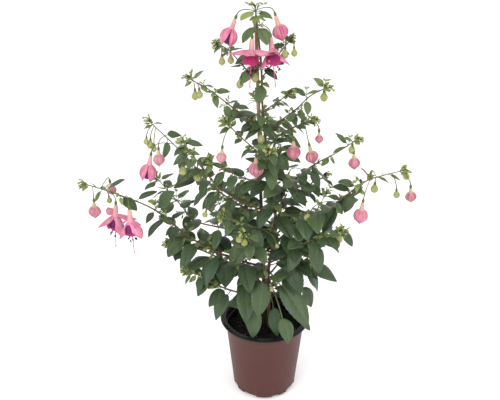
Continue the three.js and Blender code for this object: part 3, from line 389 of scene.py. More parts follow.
def between(ends, share):
    """The value at a share of the way from the first of two ends to the second."""
    return ends[0] + (ends[1] - ends[0]) * share


class Route:
    """A smooth line through points, with a share from 0 to 1 along it."""

    def __init__(self, points):
        inner = np.array(points, float)
        self.points = np.vstack([2 * inner[0] - inner[1], inner, 2 * inner[-1] - inner[-2]])
        self.spans = len(inner) - 1

    def at(self, share):
        span = min(int(share * self.spans), self.spans - 1)
        rest = share * self.spans - span
        before, here, there, after = self.points[span:span + 4]
        start, end = (there - before) / 2, (after - here) / 2
        return (here + start * rest + (3 * there - 3 * here - 2 * start - end) * rest ** 2
                + (2 * here - 2 * there + start + end) * rest ** 3)

    def direction(self, share):
        return unit(self.at(min(share + NEARBY, 1)) - self.at(max(share - NEARBY, 0)))

    def sample(self, count):
        return np.array([self.at(share) for share in np.linspace(0, 1, count)])

    def share_at_height(self, height):
        low, high = 0, 1
        for _ in range(30):
            middle = (low + high) / 2
            if self.at(middle)[2] < height:
                low = middle
            else:
                high = middle
        return low


class Blade:
    """A leaf or sepal: where it starts, the arc that it follows, and how much of it is stalk."""

    def __init__(self, root, heading, rise, length, droop, stalk=LEAF_STALK):
        self.root = np.array(root, float)
        self.stalk = stalk
        self.heading = heading
        self.rise = rise
        self.length = length
        self.droop = droop

    def spine(self, shares):
        """Points along the arc, the direction across the blade, and the ones out of its face."""
        heading = math.radians(self.heading)
        forward = np.array([math.cos(heading), math.sin(heading), 0])
        side = np.array([-math.sin(heading), math.cos(heading), 0])
        middles = (np.arange(ARC_STEPS) + 0.5) / ARC_STEPS
        slopes = np.radians(self.rise - self.droop * np.outer(shares, middles))
        level = np.cos(slopes).mean(axis=1) * shares * self.length
        climb = np.sin(slopes).mean(axis=1) * shares * self.length
        points = self.root + np.outer(level, forward) + np.outer(climb, UP)
        ends = np.radians(self.rise - self.droop * np.asarray(shares))
        lift = np.outer(np.cos(ends), UP) - np.outer(np.sin(ends), forward)
        return points, side, lift

    def tip(self):
        return self.spine(np.array([1.0]))[0][0]

    def turned(self, angle):
        return Blade(self.root, self.heading + angle, self.rise, self.length, self.droop,
                     self.stalk)


def blade_towards(root, aim, length, droop):
    """A blade that sets off along a direction."""
    heading = math.degrees(math.atan2(aim[1], aim[0]))
    rise = math.degrees(math.asin(max(-1, min(1, aim[2]))))
    return Blade(root, heading, rise, length, droop)


def outward_roll(blade, side):
    """How far a blade rolls about its midrib, in radians, to face the front or the back."""
    facing = -1 if blade.root[1] < BACK_BEYOND else 1
    return -math.radians(FACE_VIEWER) * side[1] * facing


def rolled(side, lift, turn):
    """The directions across a blade and out of its face, rolled about its midrib."""
    return np.cos(turn) * side + np.sin(turn) * lift, np.cos(turn) * lift - np.sin(turn) * side


def off_midrib(middle, across, out, offsets, heights):
    """The points of a blade's face, at offsets across its midrib and heights out of it."""
    return (middle[:, None] + across[:, None] * offsets[..., None]
            + out[:, None] * heights[..., None])


def outward_from(tangent, nearby, turn):
    """The direction that leaves a stem at right angles, at a turn round it."""
    side = unit(np.cross(tangent, nearby))
    return math.cos(turn) * side + math.sin(turn) * np.cross(side, tangent)


def grid_faces(rows, columns, closed=False):
    """The four-sided faces of a grid of points, whose columns close round with closed."""
    starts = np.arange(rows - 1)[:, None] * columns
    here = np.arange(columns if closed else columns - 1)
    there = (here + 1) % columns
    corners = [starts + here, starts + there, starts + there + columns, starts + here + columns]
    return np.stack(corners, axis=-1).reshape(-1, 4)


class Shape:
    """The points and faces of one piece, with the values that its materials read."""

    def __init__(self):
        self.parts = []  # points, places, ages and faces of each, and its material slot

    def add(self, points, faces, slot, places=(0, 0, 0), age=0.0):
        """Adds points of shape (n, 3) with their faces, all in one material slot."""
        points = np.asarray(points, float).reshape(-1, 3)
        self.parts.append([points, np.broadcast_to(places, points.shape),
                           np.broadcast_to(age, len(points)), faces, slot])

    def take(self, other):
        """Takes over everything that another shape holds."""
        self.parts += other.parts

    def add_rings(self, rings, slot, places=(0, 0, 0), age=0.0):
        """Adds a closed skin over rings of points, given as (rows, columns, 3)."""
        rows, columns = rings.shape[:2]
        faces = [grid_faces(rows, columns, closed=True), np.arange(columns)[None, ::-1],
                 (np.arange(columns) + (rows - 1) * columns)[None]]
        flat = rings.reshape(-1, 3)
        middle = flat.mean(axis=0)
        a, b, c = (flat[faces[0][:, k]] - middle for k in range(3))
        if np.einsum("ij,ij->", a, np.cross(b, c)) < 0:
            faces = [group[:, ::-1] for group in faces]
        self.add(flat, faces, slot, places, age)

    def add_turned(self, points, rows, sides, slot, ripple=None, age=0.0):
        """Adds a smooth body turned about the Z axis, whose places have four folds round it."""
        folds = 2 * (4 * np.arange(sides) / sides % 1) - 1
        rings = turned_rings(smooth_outline(points, rows), sides, ripple)
        self.add_rings(rings, slot, ring_places(rows, folds), age)

    def add_sheet(self, top, out, thickness, slots, places, age):
        """Adds a thin body: a top face, given as (rows, columns, 3), and another behind it."""
        faces = grid_faces(*top.shape[:2])
        grid = np.stack(np.broadcast_arrays(*places), axis=-1).reshape(-1, 3)
        self.add(top, [faces[:, ::-1]], slots[0], grid, age)
        self.add(top - out * thickness[..., None], [faces], slots[1], grid, age)

    def add_tube(self, points, radii, slot, sides, age=0.0):
        """Adds a round stem along points; its place runs from 0 to 1 along it."""
        points = np.asarray(points, float)
        tangents = unit(np.gradient(points, axis=0))
        side = np.cross(tangents[0], (0.3, 0.95, 0.05))
        angles = np.linspace(0, 2 * math.pi, sides, endpoint=False)
        rings = []
        for point, tangent, radius in zip(points, tangents, radii):
            side = unit(side - tangent * np.dot(side, tangent))
            across = np.cross(tangent, side)
            rings.append(point + radius * (np.outer(np.cos(angles), side)
                                           + np.outer(np.sin(angles), across)))
        self.add_rings(np.array(rings), slot, ring_places(len(points), np.zeros(sides)), age)

    def move(self, turn, shift):
        """Turns and then moves everything added so far."""
        for part in self.parts:
            part[0] = part[0] @ turn.T + shift

    def make(self, name, materials, finish_slot, *nodes):
        """Makes the piece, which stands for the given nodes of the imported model."""
        mesh = bpy.data.meshes.new(name)
        points, places, ages = (np.concatenate([part[k] for part in self.parts]) for k in range(3))
        faces, slots, start = [], [], 0
        for part in self.parts:
            for group in part[3]:
                faces += (group + start).tolist()
                slots += [part[4]] * len(group)
            start += len(part[0])
        mesh.from_pydata((points * MM).tolist(), [], faces)
        mesh.attributes.new("place", "FLOAT_VECTOR", "POINT").data.foreach_set(
            "vector", places.ravel())
        mesh.attributes.new("age", "FLOAT", "POINT").data.foreach_set("value", ages)
        for material in materials:
            mesh.materials.append(material)
        mesh.polygons.foreach_set("material_index", slots)
        mesh.shade_smooth()
        piece = bpy.data.objects.new(name, mesh)
        bpy.context.scene.collection.objects.link(piece)
        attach(piece, "root")
        if nodes:
            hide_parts(*nodes)
        return piece


def round_axis(radius, angle, height):
    """Points at a radius and an angle about the Z axis, and at a height."""
    return np.stack(np.broadcast_arrays(
        radius * np.cos(angle), radius * np.sin(angle), height), axis=-1)


def turned_rings(outline, sides, ripple=None):
    """Rings about the Z axis from an outline of (radius, height) points."""
    angles = np.linspace(0, 2 * math.pi, sides, endpoint=False)
    radius, height = (np.outer(column, np.ones(sides)) for column in np.transpose(outline))
    if ripple is not None:
        radius, height = ripple(radius, height, angles)
    return round_axis(radius, angles, height)


def smooth_outline(points, count):
    """An outline resampled along a smooth line through its points."""
    return Route([(r, z, 0) for r, z in points]).sample(count)[:, :2]


def ring_places(rows, across, luck=0.0):
    """Places on rings of points: along the rings, the values across each ring, and luck."""
    along = np.linspace(0, 1, rows)[:, None]
    return np.stack(np.broadcast_arrays(along, across, luck), axis=-1).reshape(-1, 3)


def turn_to_drop(drop):
    """The rotation that takes straight down to the direction of a drop."""
    turn = Vector((0, 0, -1)).rotation_difference(Vector(drop))
    return np.array(turn.to_matrix())

# ---------------------------------------------------------------- materials


def rgb(red, green, blue):
    """A colour as the eye sees it, from 0 to 255, as the light it sends back."""
    return (*[((part / 255 + 0.055) / 1.055) ** 2.4 for part in (red, green, blue)], 1)


class Finish:
    """One material, with a short way to wire its nodes."""

    def __init__(self, name, roughness, specular):
        self.material = bpy.data.materials.new(name)
        self.material.use_nodes = True
        self.nodes = self.material.node_tree.nodes
        self.links = self.material.node_tree.links
        self.shader = self.nodes["Principled BSDF"]
        self.shader.inputs["Roughness"].default_value = roughness
        self.shader.inputs["Specular IOR Level"].default_value = specular

    def wire(self, value, socket):
        """Links another node's output to a socket, or sets a constant on it."""
        if isinstance(value, bpy.types.NodeSocket):
            self.links.new(value, socket)
        else:
            socket.default_value = value

    def math(self, operation, *values):
        """The result of an operation on values, each of them a number or an output."""
        node = self.nodes.new("ShaderNodeMath")
        node.operation = operation
        for value, socket in zip(values, node.inputs):
            self.wire(value, socket)
        return node.outputs[0]

    def blend(self, share, first, second):
        """A colour that goes from the first to the second with the share."""
        node = self.nodes.new("ShaderNodeMix")
        node.data_type = "RGBA"
        for value, socket in zip((share, first, second), (node.inputs[k] for k in (0, 6, 7))):
            self.wire(value, socket)
        return node.outputs[2]

    def fade(self, value, start, end, low=0.0, high=1.0):
        """A value that eases from low at the start to high at the end."""
        node = self.nodes.new("ShaderNodeMapRange")
        node.interpolation_type = "SMOOTHSTEP"
        for given, socket in zip((value, start, end, low, high), node.inputs):
            self.wire(given, socket)
        return node.outputs[0]

    def place(self):
        """How far along and across its part a point is, and the luck of that part."""
        return self.split(self.attribute("place", "Vector"))

    def attribute(self, name, output="Fac"):
        node = self.nodes.new("ShaderNodeAttribute")
        node.attribute_name = name
        return node.outputs[output]

    def split(self, vector):
        node = self.nodes.new("ShaderNodeSeparateXYZ")
        self.wire(vector, node.inputs[0])
        return node.outputs

    def spot(self):
        """Where a point is on the object, in metres."""
        return self.nodes.new("ShaderNodeTexCoord").outputs["Object"]

    def height(self):
        """How high a point is on the object, in metres."""
        return self.split(self.spot())[2]

    def noise(self, scale, detail, stretch=(1, 1, 1), source=None):
        """Soft random values about 0.5, finer with a larger scale."""
        mapping = self.nodes.new("ShaderNodeMapping")
        self.wire(source or self.spot(), mapping.inputs["Vector"])
        mapping.inputs["Scale"].default_value = stretch
        node = self.nodes.new("ShaderNodeTexNoise")
        self.wire(mapping.outputs[0], node.inputs["Vector"])
        node.inputs["Scale"].default_value = scale
        node.inputs["Detail"].default_value = detail
        return node.outputs[0]

    def colour(self, colour):
        self.wire(colour, self.shader.inputs["Base Color"])

    def relief(self, height, depth):
        """Fine relief of a depth in millimetres."""
        node = self.nodes.new("ShaderNodeBump")
        node.inputs["Distance"].default_value = depth * MM
        self.wire(height, node.inputs["Height"])
        self.wire(node.outputs[0], self.shader.inputs["Normal"])

    def roughness(self, value):
        self.wire(value, self.shader.inputs["Roughness"])


def vein_pattern(finish, along, across):
    """1 on the midrib and on the side veins, which arch towards the tip, and 0 between them."""
    spread = finish.math("ABSOLUTE", across)
    arched = finish.math("MULTIPLY", finish.math("POWER", spread, 1.3), VEIN_SWEEP)
    phase = finish.math("MULTIPLY", finish.math("SUBTRACT", along, arched), LEAF_VEINS)
    wave = finish.math("ABSOLUTE", finish.math("SUBTRACT", finish.math("FRACT", phase), 0.5))
    side_veins = finish.fade(wave, 0.4, 0.5, 0, 0.6)
    midrib = finish.fade(spread, 0.02, 0.09, 1, 0)
    return finish.math("MAXIMUM", side_veins, midrib)


def leaf_finish(name, dark, light, young, vein, roughness, vein_depth):
    """A leaf: its green varies from leaf to leaf and with age, and its veins stand out."""
    finish = Finish(name, roughness, 0.35)
    along, across, luck = finish.place()
    veins = vein_pattern(finish, along, across)
    mottle = finish.noise(110, 4)
    green = finish.blend(finish.math("MULTIPLY_ADD", mottle, 0.5, finish.math(
        "MULTIPLY_ADD", luck, 0.9, -0.2)), dark, light)
    green = finish.blend(finish.attribute("age"), green, young)
    green = finish.blend(finish.math("MULTIPLY", veins, 0.26), green, vein)
    finish.colour(green)
    finish.relief(veins, vein_depth)
    finish.roughness(finish.fade(mottle, 0.3, 0.7, roughness - 0.06, roughness + 0.08))
    return finish.material


def bark_finish():
    """Stems: red-brown bark at the foot, green at the tips, with fine lengthwise streaks."""
    finish = Finish("stem_bark", 0.62, 0.3)
    age = finish.attribute("age")
    streak = finish.noise(700, 4, (1, 1, 0.12))
    bark = finish.blend(streak, rgb(78, 52, 48), rgb(122, 92, 80))
    green = finish.blend(streak, rgb(96, 94, 62), rgb(132, 138, 92))
    finish.colour(finish.blend(age, bark, green))
    finish.relief(streak, 0.35)
    return finish.material


def stalk_finish():
    """Leaf and flower stalks and ovaries: smooth green with a red flush."""
    finish = Finish("green_stalk", 0.42, 0.35)
    flush = finish.fade(finish.noise(90, 2), 0.4, 0.68)
    finish.colour(finish.blend(flush, rgb(78, 104, 48), rgb(104, 70, 46)))
    finish.relief(finish.noise(1500, 2), 0.06)
    return finish.material


def streaks_along(finish, fineness):
    """Soft streaks that run along a sepal or a petal, and differ from one to the next."""
    return finish.noise(1, 3, (1.4, fineness, 40), finish.attribute("place", "Vector"))


def bud_finish(name, pale, deep, neck, tip):
    """Closed buds, pink or green: deeper at the seams, with their own colours of neck and tip."""
    finish = Finish(name, 0.45, 0.3)
    along, across = finish.place()[:2]
    streak = streaks_along(finish, 8)
    cloud = finish.noise(90, 2)
    ripe = finish.math("MULTIPLY_ADD", finish.attribute("age"), 0.45, finish.math(
        "MULTIPLY_ADD", finish.fade(streak, 0.42, 0.6), 0.6, finish.fade(cloud, 0.35, 0.7, 0, 0.3)))
    pink = finish.blend(ripe, pale, deep)
    pink = finish.blend(finish.fade(across, 0.86, 1.0, 0, 0.75), pink, deep)
    pink = finish.blend(finish.fade(along, 0.86, 0.98, 0, 0.8), pink, tip)
    pink = finish.blend(finish.fade(along, 0.24, 0.4, 1, 0), pink, neck)
    finish.colour(pink)
    finish.relief(streak, 0.25)
    return finish.material


def sepal_finish(name, pale, deep, tip, roughness):
    """Sepals: pink with deeper lengthwise streaks, painted shade along the edges where the arched
    sepal turns from the light, and a greenish tip.
    """
    finish = Finish(name, roughness, 0.3)
    along, across = finish.place()[:2]
    streak = streaks_along(finish, 9)
    cloud = finish.noise(120, 2)
    depth = finish.math("MULTIPLY_ADD", finish.fade(streak, 0.42, 0.66), 0.6,
                        finish.fade(cloud, 0.35, 0.7, 0, 0.35))
    ripe = finish.math("MULTIPLY_ADD", finish.attribute("age"), 0.4, depth)
    pink = finish.blend(ripe, pale, deep)
    # painted shade: deeper pink towards each edge, where the arched sepal turns from the light
    seam = finish.fade(finish.math("ABSOLUTE", across), 0.6, 0.95, 0, 0.7)
    pink = finish.blend(seam, pink, deep)
    pink = finish.blend(finish.fade(along, 0.9, 1.0, 0, 0.5), pink, tip)
    finish.colour(pink)
    finish.relief(streak, 0.3)
    return finish.material


def tube_finish():
    """The flower's tube: cream-green at the ovary, then peach, then pale pink."""
    finish = Finish("flower_tube", 0.45, 0.3)
    along = finish.place()[0]
    blush = finish.blend(finish.fade(along, 0.0, 0.3), rgb(182, 176, 134), rgb(216, 168, 160))
    blush = finish.blend(finish.fade(along, 0.2, 0.8), blush, rgb(214, 154, 168))
    streak = finish.noise(260, 3, (1, 1, 0.15))
    blush = finish.blend(finish.fade(streak, 0.42, 0.75, 0, 0.5), blush, rgb(196, 100, 132))
    finish.colour(blush)
    finish.relief(streak, 0.15)
    return finish.material


def petal_finish():
    """Skirt petals: magenta or violet by age, pinker at the foot and at the hem, finely veined."""
    finish = Finish("corolla_petal", 0.55, 0.25)
    along = finish.place()[0]
    streak = streaks_along(finish, 11)
    violet = finish.math("MULTIPLY", finish.attribute("age"), finish.fade(along, 0.98, 0.72))
    magenta = finish.blend(streak, rgb(196, 52, 110), rgb(148, 24, 78))
    purple = finish.blend(streak, rgb(112, 32, 104), rgb(66, 18, 62))
    shade = finish.blend(violet, magenta, purple)
    shade = finish.blend(finish.fade(along, 0.02, 0.22, 0.5, 0), shade, rgb(200, 84, 130))
    finish.colour(shade)
    finish.relief(streak, 0.4)
    return finish.material


def speckled_finish(name, first, second, scale, depth, roughness, specular=0.5):
    """A material of two colours in soft patches, with a relief to match."""
    finish = Finish(name, roughness, specular)
    grain = finish.noise(scale, 4)
    finish.colour(finish.blend(finish.fade(grain, 0.35, 0.65), first, second))
    finish.relief(grain, depth)
    return finish.material


def pot_finish(name, main, scuffed, roughness):
    """Moulded plastic: a fine skin with faint rings round it and a little dust low down."""
    finish = Finish(name, roughness, 0.35)
    rings = finish.noise(60, 2, (0.05, 0.05, 14))
    skin = finish.noise(2600, 2)
    scuff = finish.fade(finish.noise(38, 5), 0.52, 0.78, 0, 0.5)
    dust = finish.fade(finish.height(), 0.0, 0.035, 0.35, 0.0)
    wear = finish.math("MAXIMUM", scuff, dust)
    finish.colour(finish.blend(finish.math("MULTIPLY_ADD", rings, 0.14, finish.math(
        "MULTIPLY", wear, 0.26)), main, scuffed))
    finish.relief(finish.math("MULTIPLY_ADD", skin, 0.3, rings), 0.12)
    finish.roughness(finish.math("MULTIPLY_ADD", wear, 0.2, roughness))
    return finish.material


def soil_finish():
    """Peaty soil: nearly black crumbs with a few paler flecks."""
    finish = Finish("potting_soil", 0.95, 0.1)
    crumb = finish.noise(420, 6)
    fleck = finish.fade(finish.noise(1500, 2), 0.66, 0.72)
    earth = finish.blend(crumb, rgb(9, 9, 10), rgb(38, 36, 35))
    finish.colour(finish.blend(fleck, earth, rgb(74, 66, 58)))
    finish.relief(crumb, 2.0)
    return finish.material


def bamboo_finish():
    """Split bamboo: tan with long fibres and dark stains, and nearly black low down."""
    finish = Finish("bamboo", 0.5, 0.35)
    fibre = finish.noise(900, 4, (1, 1, 0.03))
    stain = finish.fade(finish.noise(70, 3, (1, 1, 0.25)), 0.5, 0.72, 0, 0.55)
    tan = finish.blend(fibre, rgb(134, 108, 76), rgb(182, 156, 120))
    tan = finish.blend(stain, tan, rgb(92, 70, 48))
    edge = finish.math("MULTIPLY_ADD", finish.noise(60, 2), 0.04, finish.height())
    low = finish.fade(edge, CANE_DARK_BELOW * MM, (CANE_DARK_BELOW + 50) * MM, 0.9, 0)
    finish.colour(finish.blend(low, tan, rgb(36, 28, 22)))
    finish.relief(fibre, 0.25)
    return finish.material


def make_finishes():
    """Every material, by the word that the pieces ask for it with."""
    return {
        "leaf_top": leaf_finish("leaf_top", rgb(32, 52, 36), rgb(66, 88, 60), rgb(150, 166, 94),
                                rgb(108, 130, 92), 0.36, -0.35),
        "leaf_under": leaf_finish("leaf_under", rgb(66, 86, 64), rgb(90, 108, 82),
                                  rgb(138, 158, 96), rgb(120, 138, 102), 0.6, 0.25),
        "bark": bark_finish(),
        "stalk": stalk_finish(),
        "sepal": sepal_finish("sepal_outside", rgb(222, 158, 176), rgb(188, 82, 120),
                              rgb(176, 166, 122), 0.45),
        "sepal_in": sepal_finish("sepal_inside", rgb(210, 116, 156), rgb(174, 60, 110),
                                 rgb(186, 140, 128), 0.5),
        "bud": bud_finish("pink_bud", rgb(216, 160, 162), rgb(160, 80, 106),
                          rgb(190, 166, 134), rgb(184, 178, 134)),
        "long_bud": bud_finish("long_necked_bud", rgb(222, 152, 168), rgb(172, 72, 108),
                               rgb(212, 162, 150), rgb(184, 170, 134)),
        "green_bud": bud_finish("green_bud", rgb(178, 178, 122), rgb(146, 142, 90),
                                rgb(146, 158, 90), rgb(188, 172, 132)),
        "tube": tube_finish(),
        "petal": petal_finish(),
        "filament": speckled_finish("filament", rgb(206, 86, 136), rgb(170, 44, 98),
                                    300, 0.1, 0.4),
        "anther": speckled_finish("anther", rgb(24, 9, 18), rgb(54, 20, 40), 1800, 0.3, 0.8, 0.1),
        "stigma": speckled_finish("stigma", rgb(214, 170, 170), rgb(200, 134, 150), 900, 0.1, 0.4),
        "pot": pot_finish("pot_brown", rgb(76, 35, 29), rgb(106, 68, 60), 0.5),
        "pot_black": pot_finish("pot_black", rgb(9, 10, 12), rgb(40, 40, 42), 0.45),
        "soil": soil_finish(),
        "perlite": speckled_finish("perlite", rgb(120, 114, 102), rgb(92, 86, 76),
                                   1500, 0.4, 0.9, 0.2),
        "bamboo": bamboo_finish(),
        "tie": speckled_finish("tie_plastic", rgb(42, 48, 26), rgb(70, 74, 44),
                               700, 0.1, 0.45, 0.3),
    }

# ---------------------------------------------------------------- view, light and floor


def make_view():
    """The camera, fitted to the rims of the pot in the photograph."""
    camera = bpy.data.objects.new("camera", bpy.data.cameras.new("camera"))
    camera.data.lens = CAMERA_LENS
    camera.data.clip_end = CAMERA_FAR
    camera.location = [part * MM for part in CAMERA_PLACE]
    camera.rotation_euler = (math.radians(90 - CAMERA_DOWN), 0, math.radians(CAMERA_LEFT))
    bpy.context.scene.collection.objects.link(camera)
    bpy.context.scene.camera = camera
    bpy.context.scene.view_settings.view_transform = "Standard"


def make_light(name, place, size, power):
    """A soft square lamp that looks at the middle of the plant."""
    lamp = bpy.data.lights.new(name, "AREA")
    lamp.size = size * MM
    lamp.energy = power
    light = bpy.data.objects.new(name, lamp)
    light.location = [part * MM for part in place]
    aim = Vector((0, 0, LIGHT_AIM * MM)) - light.location
    light.rotation_euler = aim.to_track_quat("-Z", "Y").to_euler()
    bpy.context.scene.collection.objects.link(light)


def make_studio():
    """A white world, two soft lamps and a white paper floor that glows faintly: painted light that
    washes out the plant's shadow on it.
    """
    world = bpy.data.worlds.new("studio")
    world.use_nodes = True
    background = world.node_tree.nodes["Background"]
    background.inputs["Color"].default_value = WHITE
    background.inputs["Strength"].default_value = WORLD_LIGHT
    bpy.context.scene.world = world
    make_light("key_light", KEY_LIGHT, KEY_SIZE, KEY_POWER)
    make_light("fill_light", FILL_LIGHT, FILL_SIZE, FILL_POWER)
    half = FLOOR_SIZE / 2 * MM
    mesh = bpy.data.meshes.new("floor")
    mesh.from_pydata([(-half, -half, 0), (half, -half, 0), (half, half, 0), (-half, half, 0)],
                     [], [(0, 1, 2, 3)])
    paper = Finish("floor", 0.9, 0.1)
    paper.colour(WHITE)
    # painted light: a faint glow that lifts the plant's shadow on the floor towards white
    paper.shader.inputs["Emission Strength"].default_value = FLOOR_GLOW
    mesh.materials.append(paper.material)
    floor = bpy.data.objects.new("floor", mesh)
    bpy.context.scene.collection.objects.link(floor)


# ---------------------------------------------------------------- pot, soil, cane and ties


def pot_radius(height):
    """The radius of the pot's outer wall at a height."""
    share = (height - POT_FOOT_CHAMFER) / (POT_HEIGHT - POT_COLLAR_HEIGHT - POT_FOOT_CHAMFER)
    return POT_FOOT_RADIUS + share * (POT_BODY_TOP_RADIUS - POT_FOOT_RADIUS)


def notch_share(angles):
    """1 where the pot's foot is notched and 0 where it stands, for angles round it."""
    notched = np.zeros_like(angles)
    period = 360 / POT_NOTCH_TURNS
    for heading, width in POT_NOTCHES:
        away = np.abs((np.degrees(angles) - heading + period / 2) % period - period / 2)
        half = math.degrees(width / 2 / (POT_FOOT_RADIUS - POT_FOOT_CHAMFER))
        notched = np.maximum(notched, np.clip((half - away) / 1.5 + 0.5, 0, 1))
    return notched


def notched_foot(radius, height, angles):
    """Lifts the foot's rim and draws in the wall above it where the notches are."""
    notch = notch_share(angles)
    rim = (radius > POT_FOOT_RADIUS - POT_FOOT_CHAMFER - POT_FOOT_RING + 1) & (
        height < POT_FOOT_CHAMFER)
    wall = (radius > POT_FOOT_RADIUS - 3) & (height < 2 * POT_FOOT_CHAMFER)
    lifted = np.where(rim, np.maximum(height, notch * POT_NOTCH_RISE), height)
    return np.where(wall, radius - notch * POT_NOTCH_INSET, radius), lifted


def make_pot(finishes):
    """The pot: a brown outside and a black lip and inside, a collar and a notched foot."""
    collar = POT_HEIGHT - POT_COLLAR_HEIGHT
    lip = POT_HEIGHT - POT_LIP_THICKNESS
    ring = POT_FOOT_RADIUS - POT_FOOT_CHAMFER
    inside = POT_FLOOR_RAISE + POT_FLOOR
    outer = [
        (0, 0), (POT_HUB_RADIUS - 1, 0), (POT_HUB_RADIUS, 0.3),
        (POT_HUB_RADIUS + 3, POT_FLOOR_RAISE),
        (ring - POT_FOOT_RING - 3, POT_FLOOR_RAISE), (ring - POT_FOOT_RING, 0.3),
        (ring - POT_FOOT_RING + 1.5, 0), (ring - 0.8, 0), (ring, 0.3), (POT_FOOT_RADIUS - 0.7, 4.2),
        (POT_FOOT_RADIUS, POT_FOOT_CHAMFER), (pot_radius(6.2), 6.2), (pot_radius(9), 9),
        (pot_radius(10.6), 10.6),
        (pot_radius(40), 40), (pot_radius(80), 80), (POT_BODY_TOP_RADIUS - 0.1, collar - 1),
        (POT_BODY_TOP_RADIUS + 0.2, collar), (POT_COLLAR_RADIUS - 0.5, collar + 0.8),
        (POT_COLLAR_RADIUS - 0.3, collar + 1.8), (POT_COLLAR_RADIUS + 0.5, lip - 2),
        (POT_COLLAR_RADIUS + 1, lip - 0.7),
    ]
    inner = [
        (POT_COLLAR_RADIUS + 1, lip - 0.7), (POT_COLLAR_RADIUS + 2, lip),
        (POT_LIP_RADIUS - 0.5, lip),
        (POT_LIP_RADIUS, lip + 0.5), (POT_LIP_RADIUS, POT_HEIGHT - 0.8),
        (POT_LIP_RADIUS - 0.5, POT_HEIGHT - 0.1), (POT_LIP_RADIUS - 1.4, POT_HEIGHT),
        (POT_COLLAR_RADIUS + 1, POT_HEIGHT), (POT_COLLAR_RADIUS - 0.9, POT_HEIGHT - 0.4),
        (POT_COLLAR_RADIUS - POT_WALL, POT_HEIGHT - 1.6),
        (POT_COLLAR_RADIUS - POT_WALL - 0.5, collar + 1), (POT_BODY_TOP_RADIUS - POT_WALL, collar),
        (pot_radius(60) - POT_WALL, 60), (pot_radius(inside) - POT_WALL, inside + 1),
        (pot_radius(inside) - POT_WALL - 1, inside), (0, inside),
    ]
    shape = Shape()
    for outline, slot in ((outer, 0), (inner, 1)):
        rings = turned_rings(outline, POT_SIDES, notched_foot)
        faces = grid_faces(len(outline), POT_SIDES, closed=True)
        shape.add(rings, [faces[:, ::-1]], slot)
    pot = shape.make("nursery_pot", [finishes["pot"], finishes["pot_black"]], "pot_plastic", "pot")
    weld_and_sharpen(pot)


def weld_and_sharpen(piece):
    """Joins points that coincide, and keeps the creases crisp."""
    weld = piece.modifiers.new("weld", "WELD")
    weld.merge_threshold = 0.02 * MM
    crease = piece.modifiers.new("crease", "EDGE_SPLIT")
    crease.split_angle = math.radians(CREASE_ANGLE)


def lump(random, size):
    """Rings of points round a small rough lump."""
    rows, columns = 5, 7
    tilt = np.linspace(0.08, math.pi - 0.08, rows)
    ring = turned_rings([(math.sin(t), math.cos(t)) for t in tilt], columns)
    rough = 1 + random.uniform(-0.28, 0.28, (rows, columns, 1))
    stretch = random.uniform(0.6, 1.2, 3)
    return ring * rough * stretch * size


def soil_height(x, y):
    """The relief of the soil about its mean height."""
    return SOIL_RELIEF * (0.5 * np.sin(x / 7.3 + 1.1) * np.cos(y / 6.1)
                          + 0.3 * np.sin(x / 3.1 - y / 4.3) + 0.2 * np.cos(x / 1.9 + y / 2.3))


def make_soil(finishes):
    """The soil: an uneven top with crumbs, and specks of perlite."""
    random = np.random.default_rng(SOIL_SEED)
    wall = pot_radius(SOIL_TOP) - POT_WALL - 0.5
    foot = POT_FLOOR_RAISE + POT_FLOOR + 0.5
    sides, rows = 72, 26
    radii = np.linspace(0.2, wall, rows)
    rings = turned_rings([(r, SOIL_TOP) for r in radii] + [(wall - 1, SOIL_TOP - 6),
                         (pot_radius(foot) - POT_WALL - 1.5, foot)], sides)
    top = rings[:rows]
    top[..., 2] += soil_height(top[..., 0], top[..., 1]) + random.normal(0, 0.35, top.shape[:2])
    shape = Shape()
    shape.add_rings(rings, 0)
    for count, sizes, slot in SOIL_SPECKS:
        for _ in range(count):
            reach = (wall - 2) * math.sqrt(random.uniform(0, 1))
            angle = random.uniform(0, 2 * math.pi)
            x, y = reach * math.cos(angle), reach * math.sin(angle)
            size = random.uniform(*sizes)
            place = (x, y, SOIL_TOP + soil_height(x, y) + 0.3 * size)
            shape.add_rings(lump(random, size) + place, slot)
    shape.make("soil_surface", [finishes["soil"], finishes["perlite"]], "soil", "potting_soil")


def make_spilt_soil(finishes):
    """A few crumbs of soil that lie on the pot's lip."""
    random = np.random.default_rng(LIP_SEED)
    shape = Shape()
    for x, y, size in CRUMBS_ON_LIP:
        shape.add_rings(lump(random, size) + (x, y, POT_HEIGHT + 0.6 * size), 0)
    shape.make("spilt_soil", [finishes["soil"]], "soil")


def make_cane(finishes):
    """The cane: a bamboo stick with swollen joints and cut ends."""
    line = Route([CANE_FOOT, CANE_HEAD])
    shares = np.unique(np.concatenate(
        [np.linspace(0, 1, 40)] + [joint + np.linspace(-0.006, 0.006, 9) for joint in CANE_JOINTS]))
    swell = sum(np.exp(-((shares - joint) / 0.0035) ** 2) for joint in CANE_JOINTS)
    groove = sum(np.exp(-((shares - joint - 0.004) / 0.0012) ** 2) for joint in CANE_JOINTS)
    radii = CANE_RADIUS * (0.97 + 0.13 * swell - 0.1 * groove)
    points = [line.at(share) for share in shares]
    shape = Shape()
    shape.add_tube(points, radii, 0, 24)
    weld_and_sharpen(shape.make("bamboo_stake", [finishes["bamboo"]], "bamboo", "bamboo_cane"))


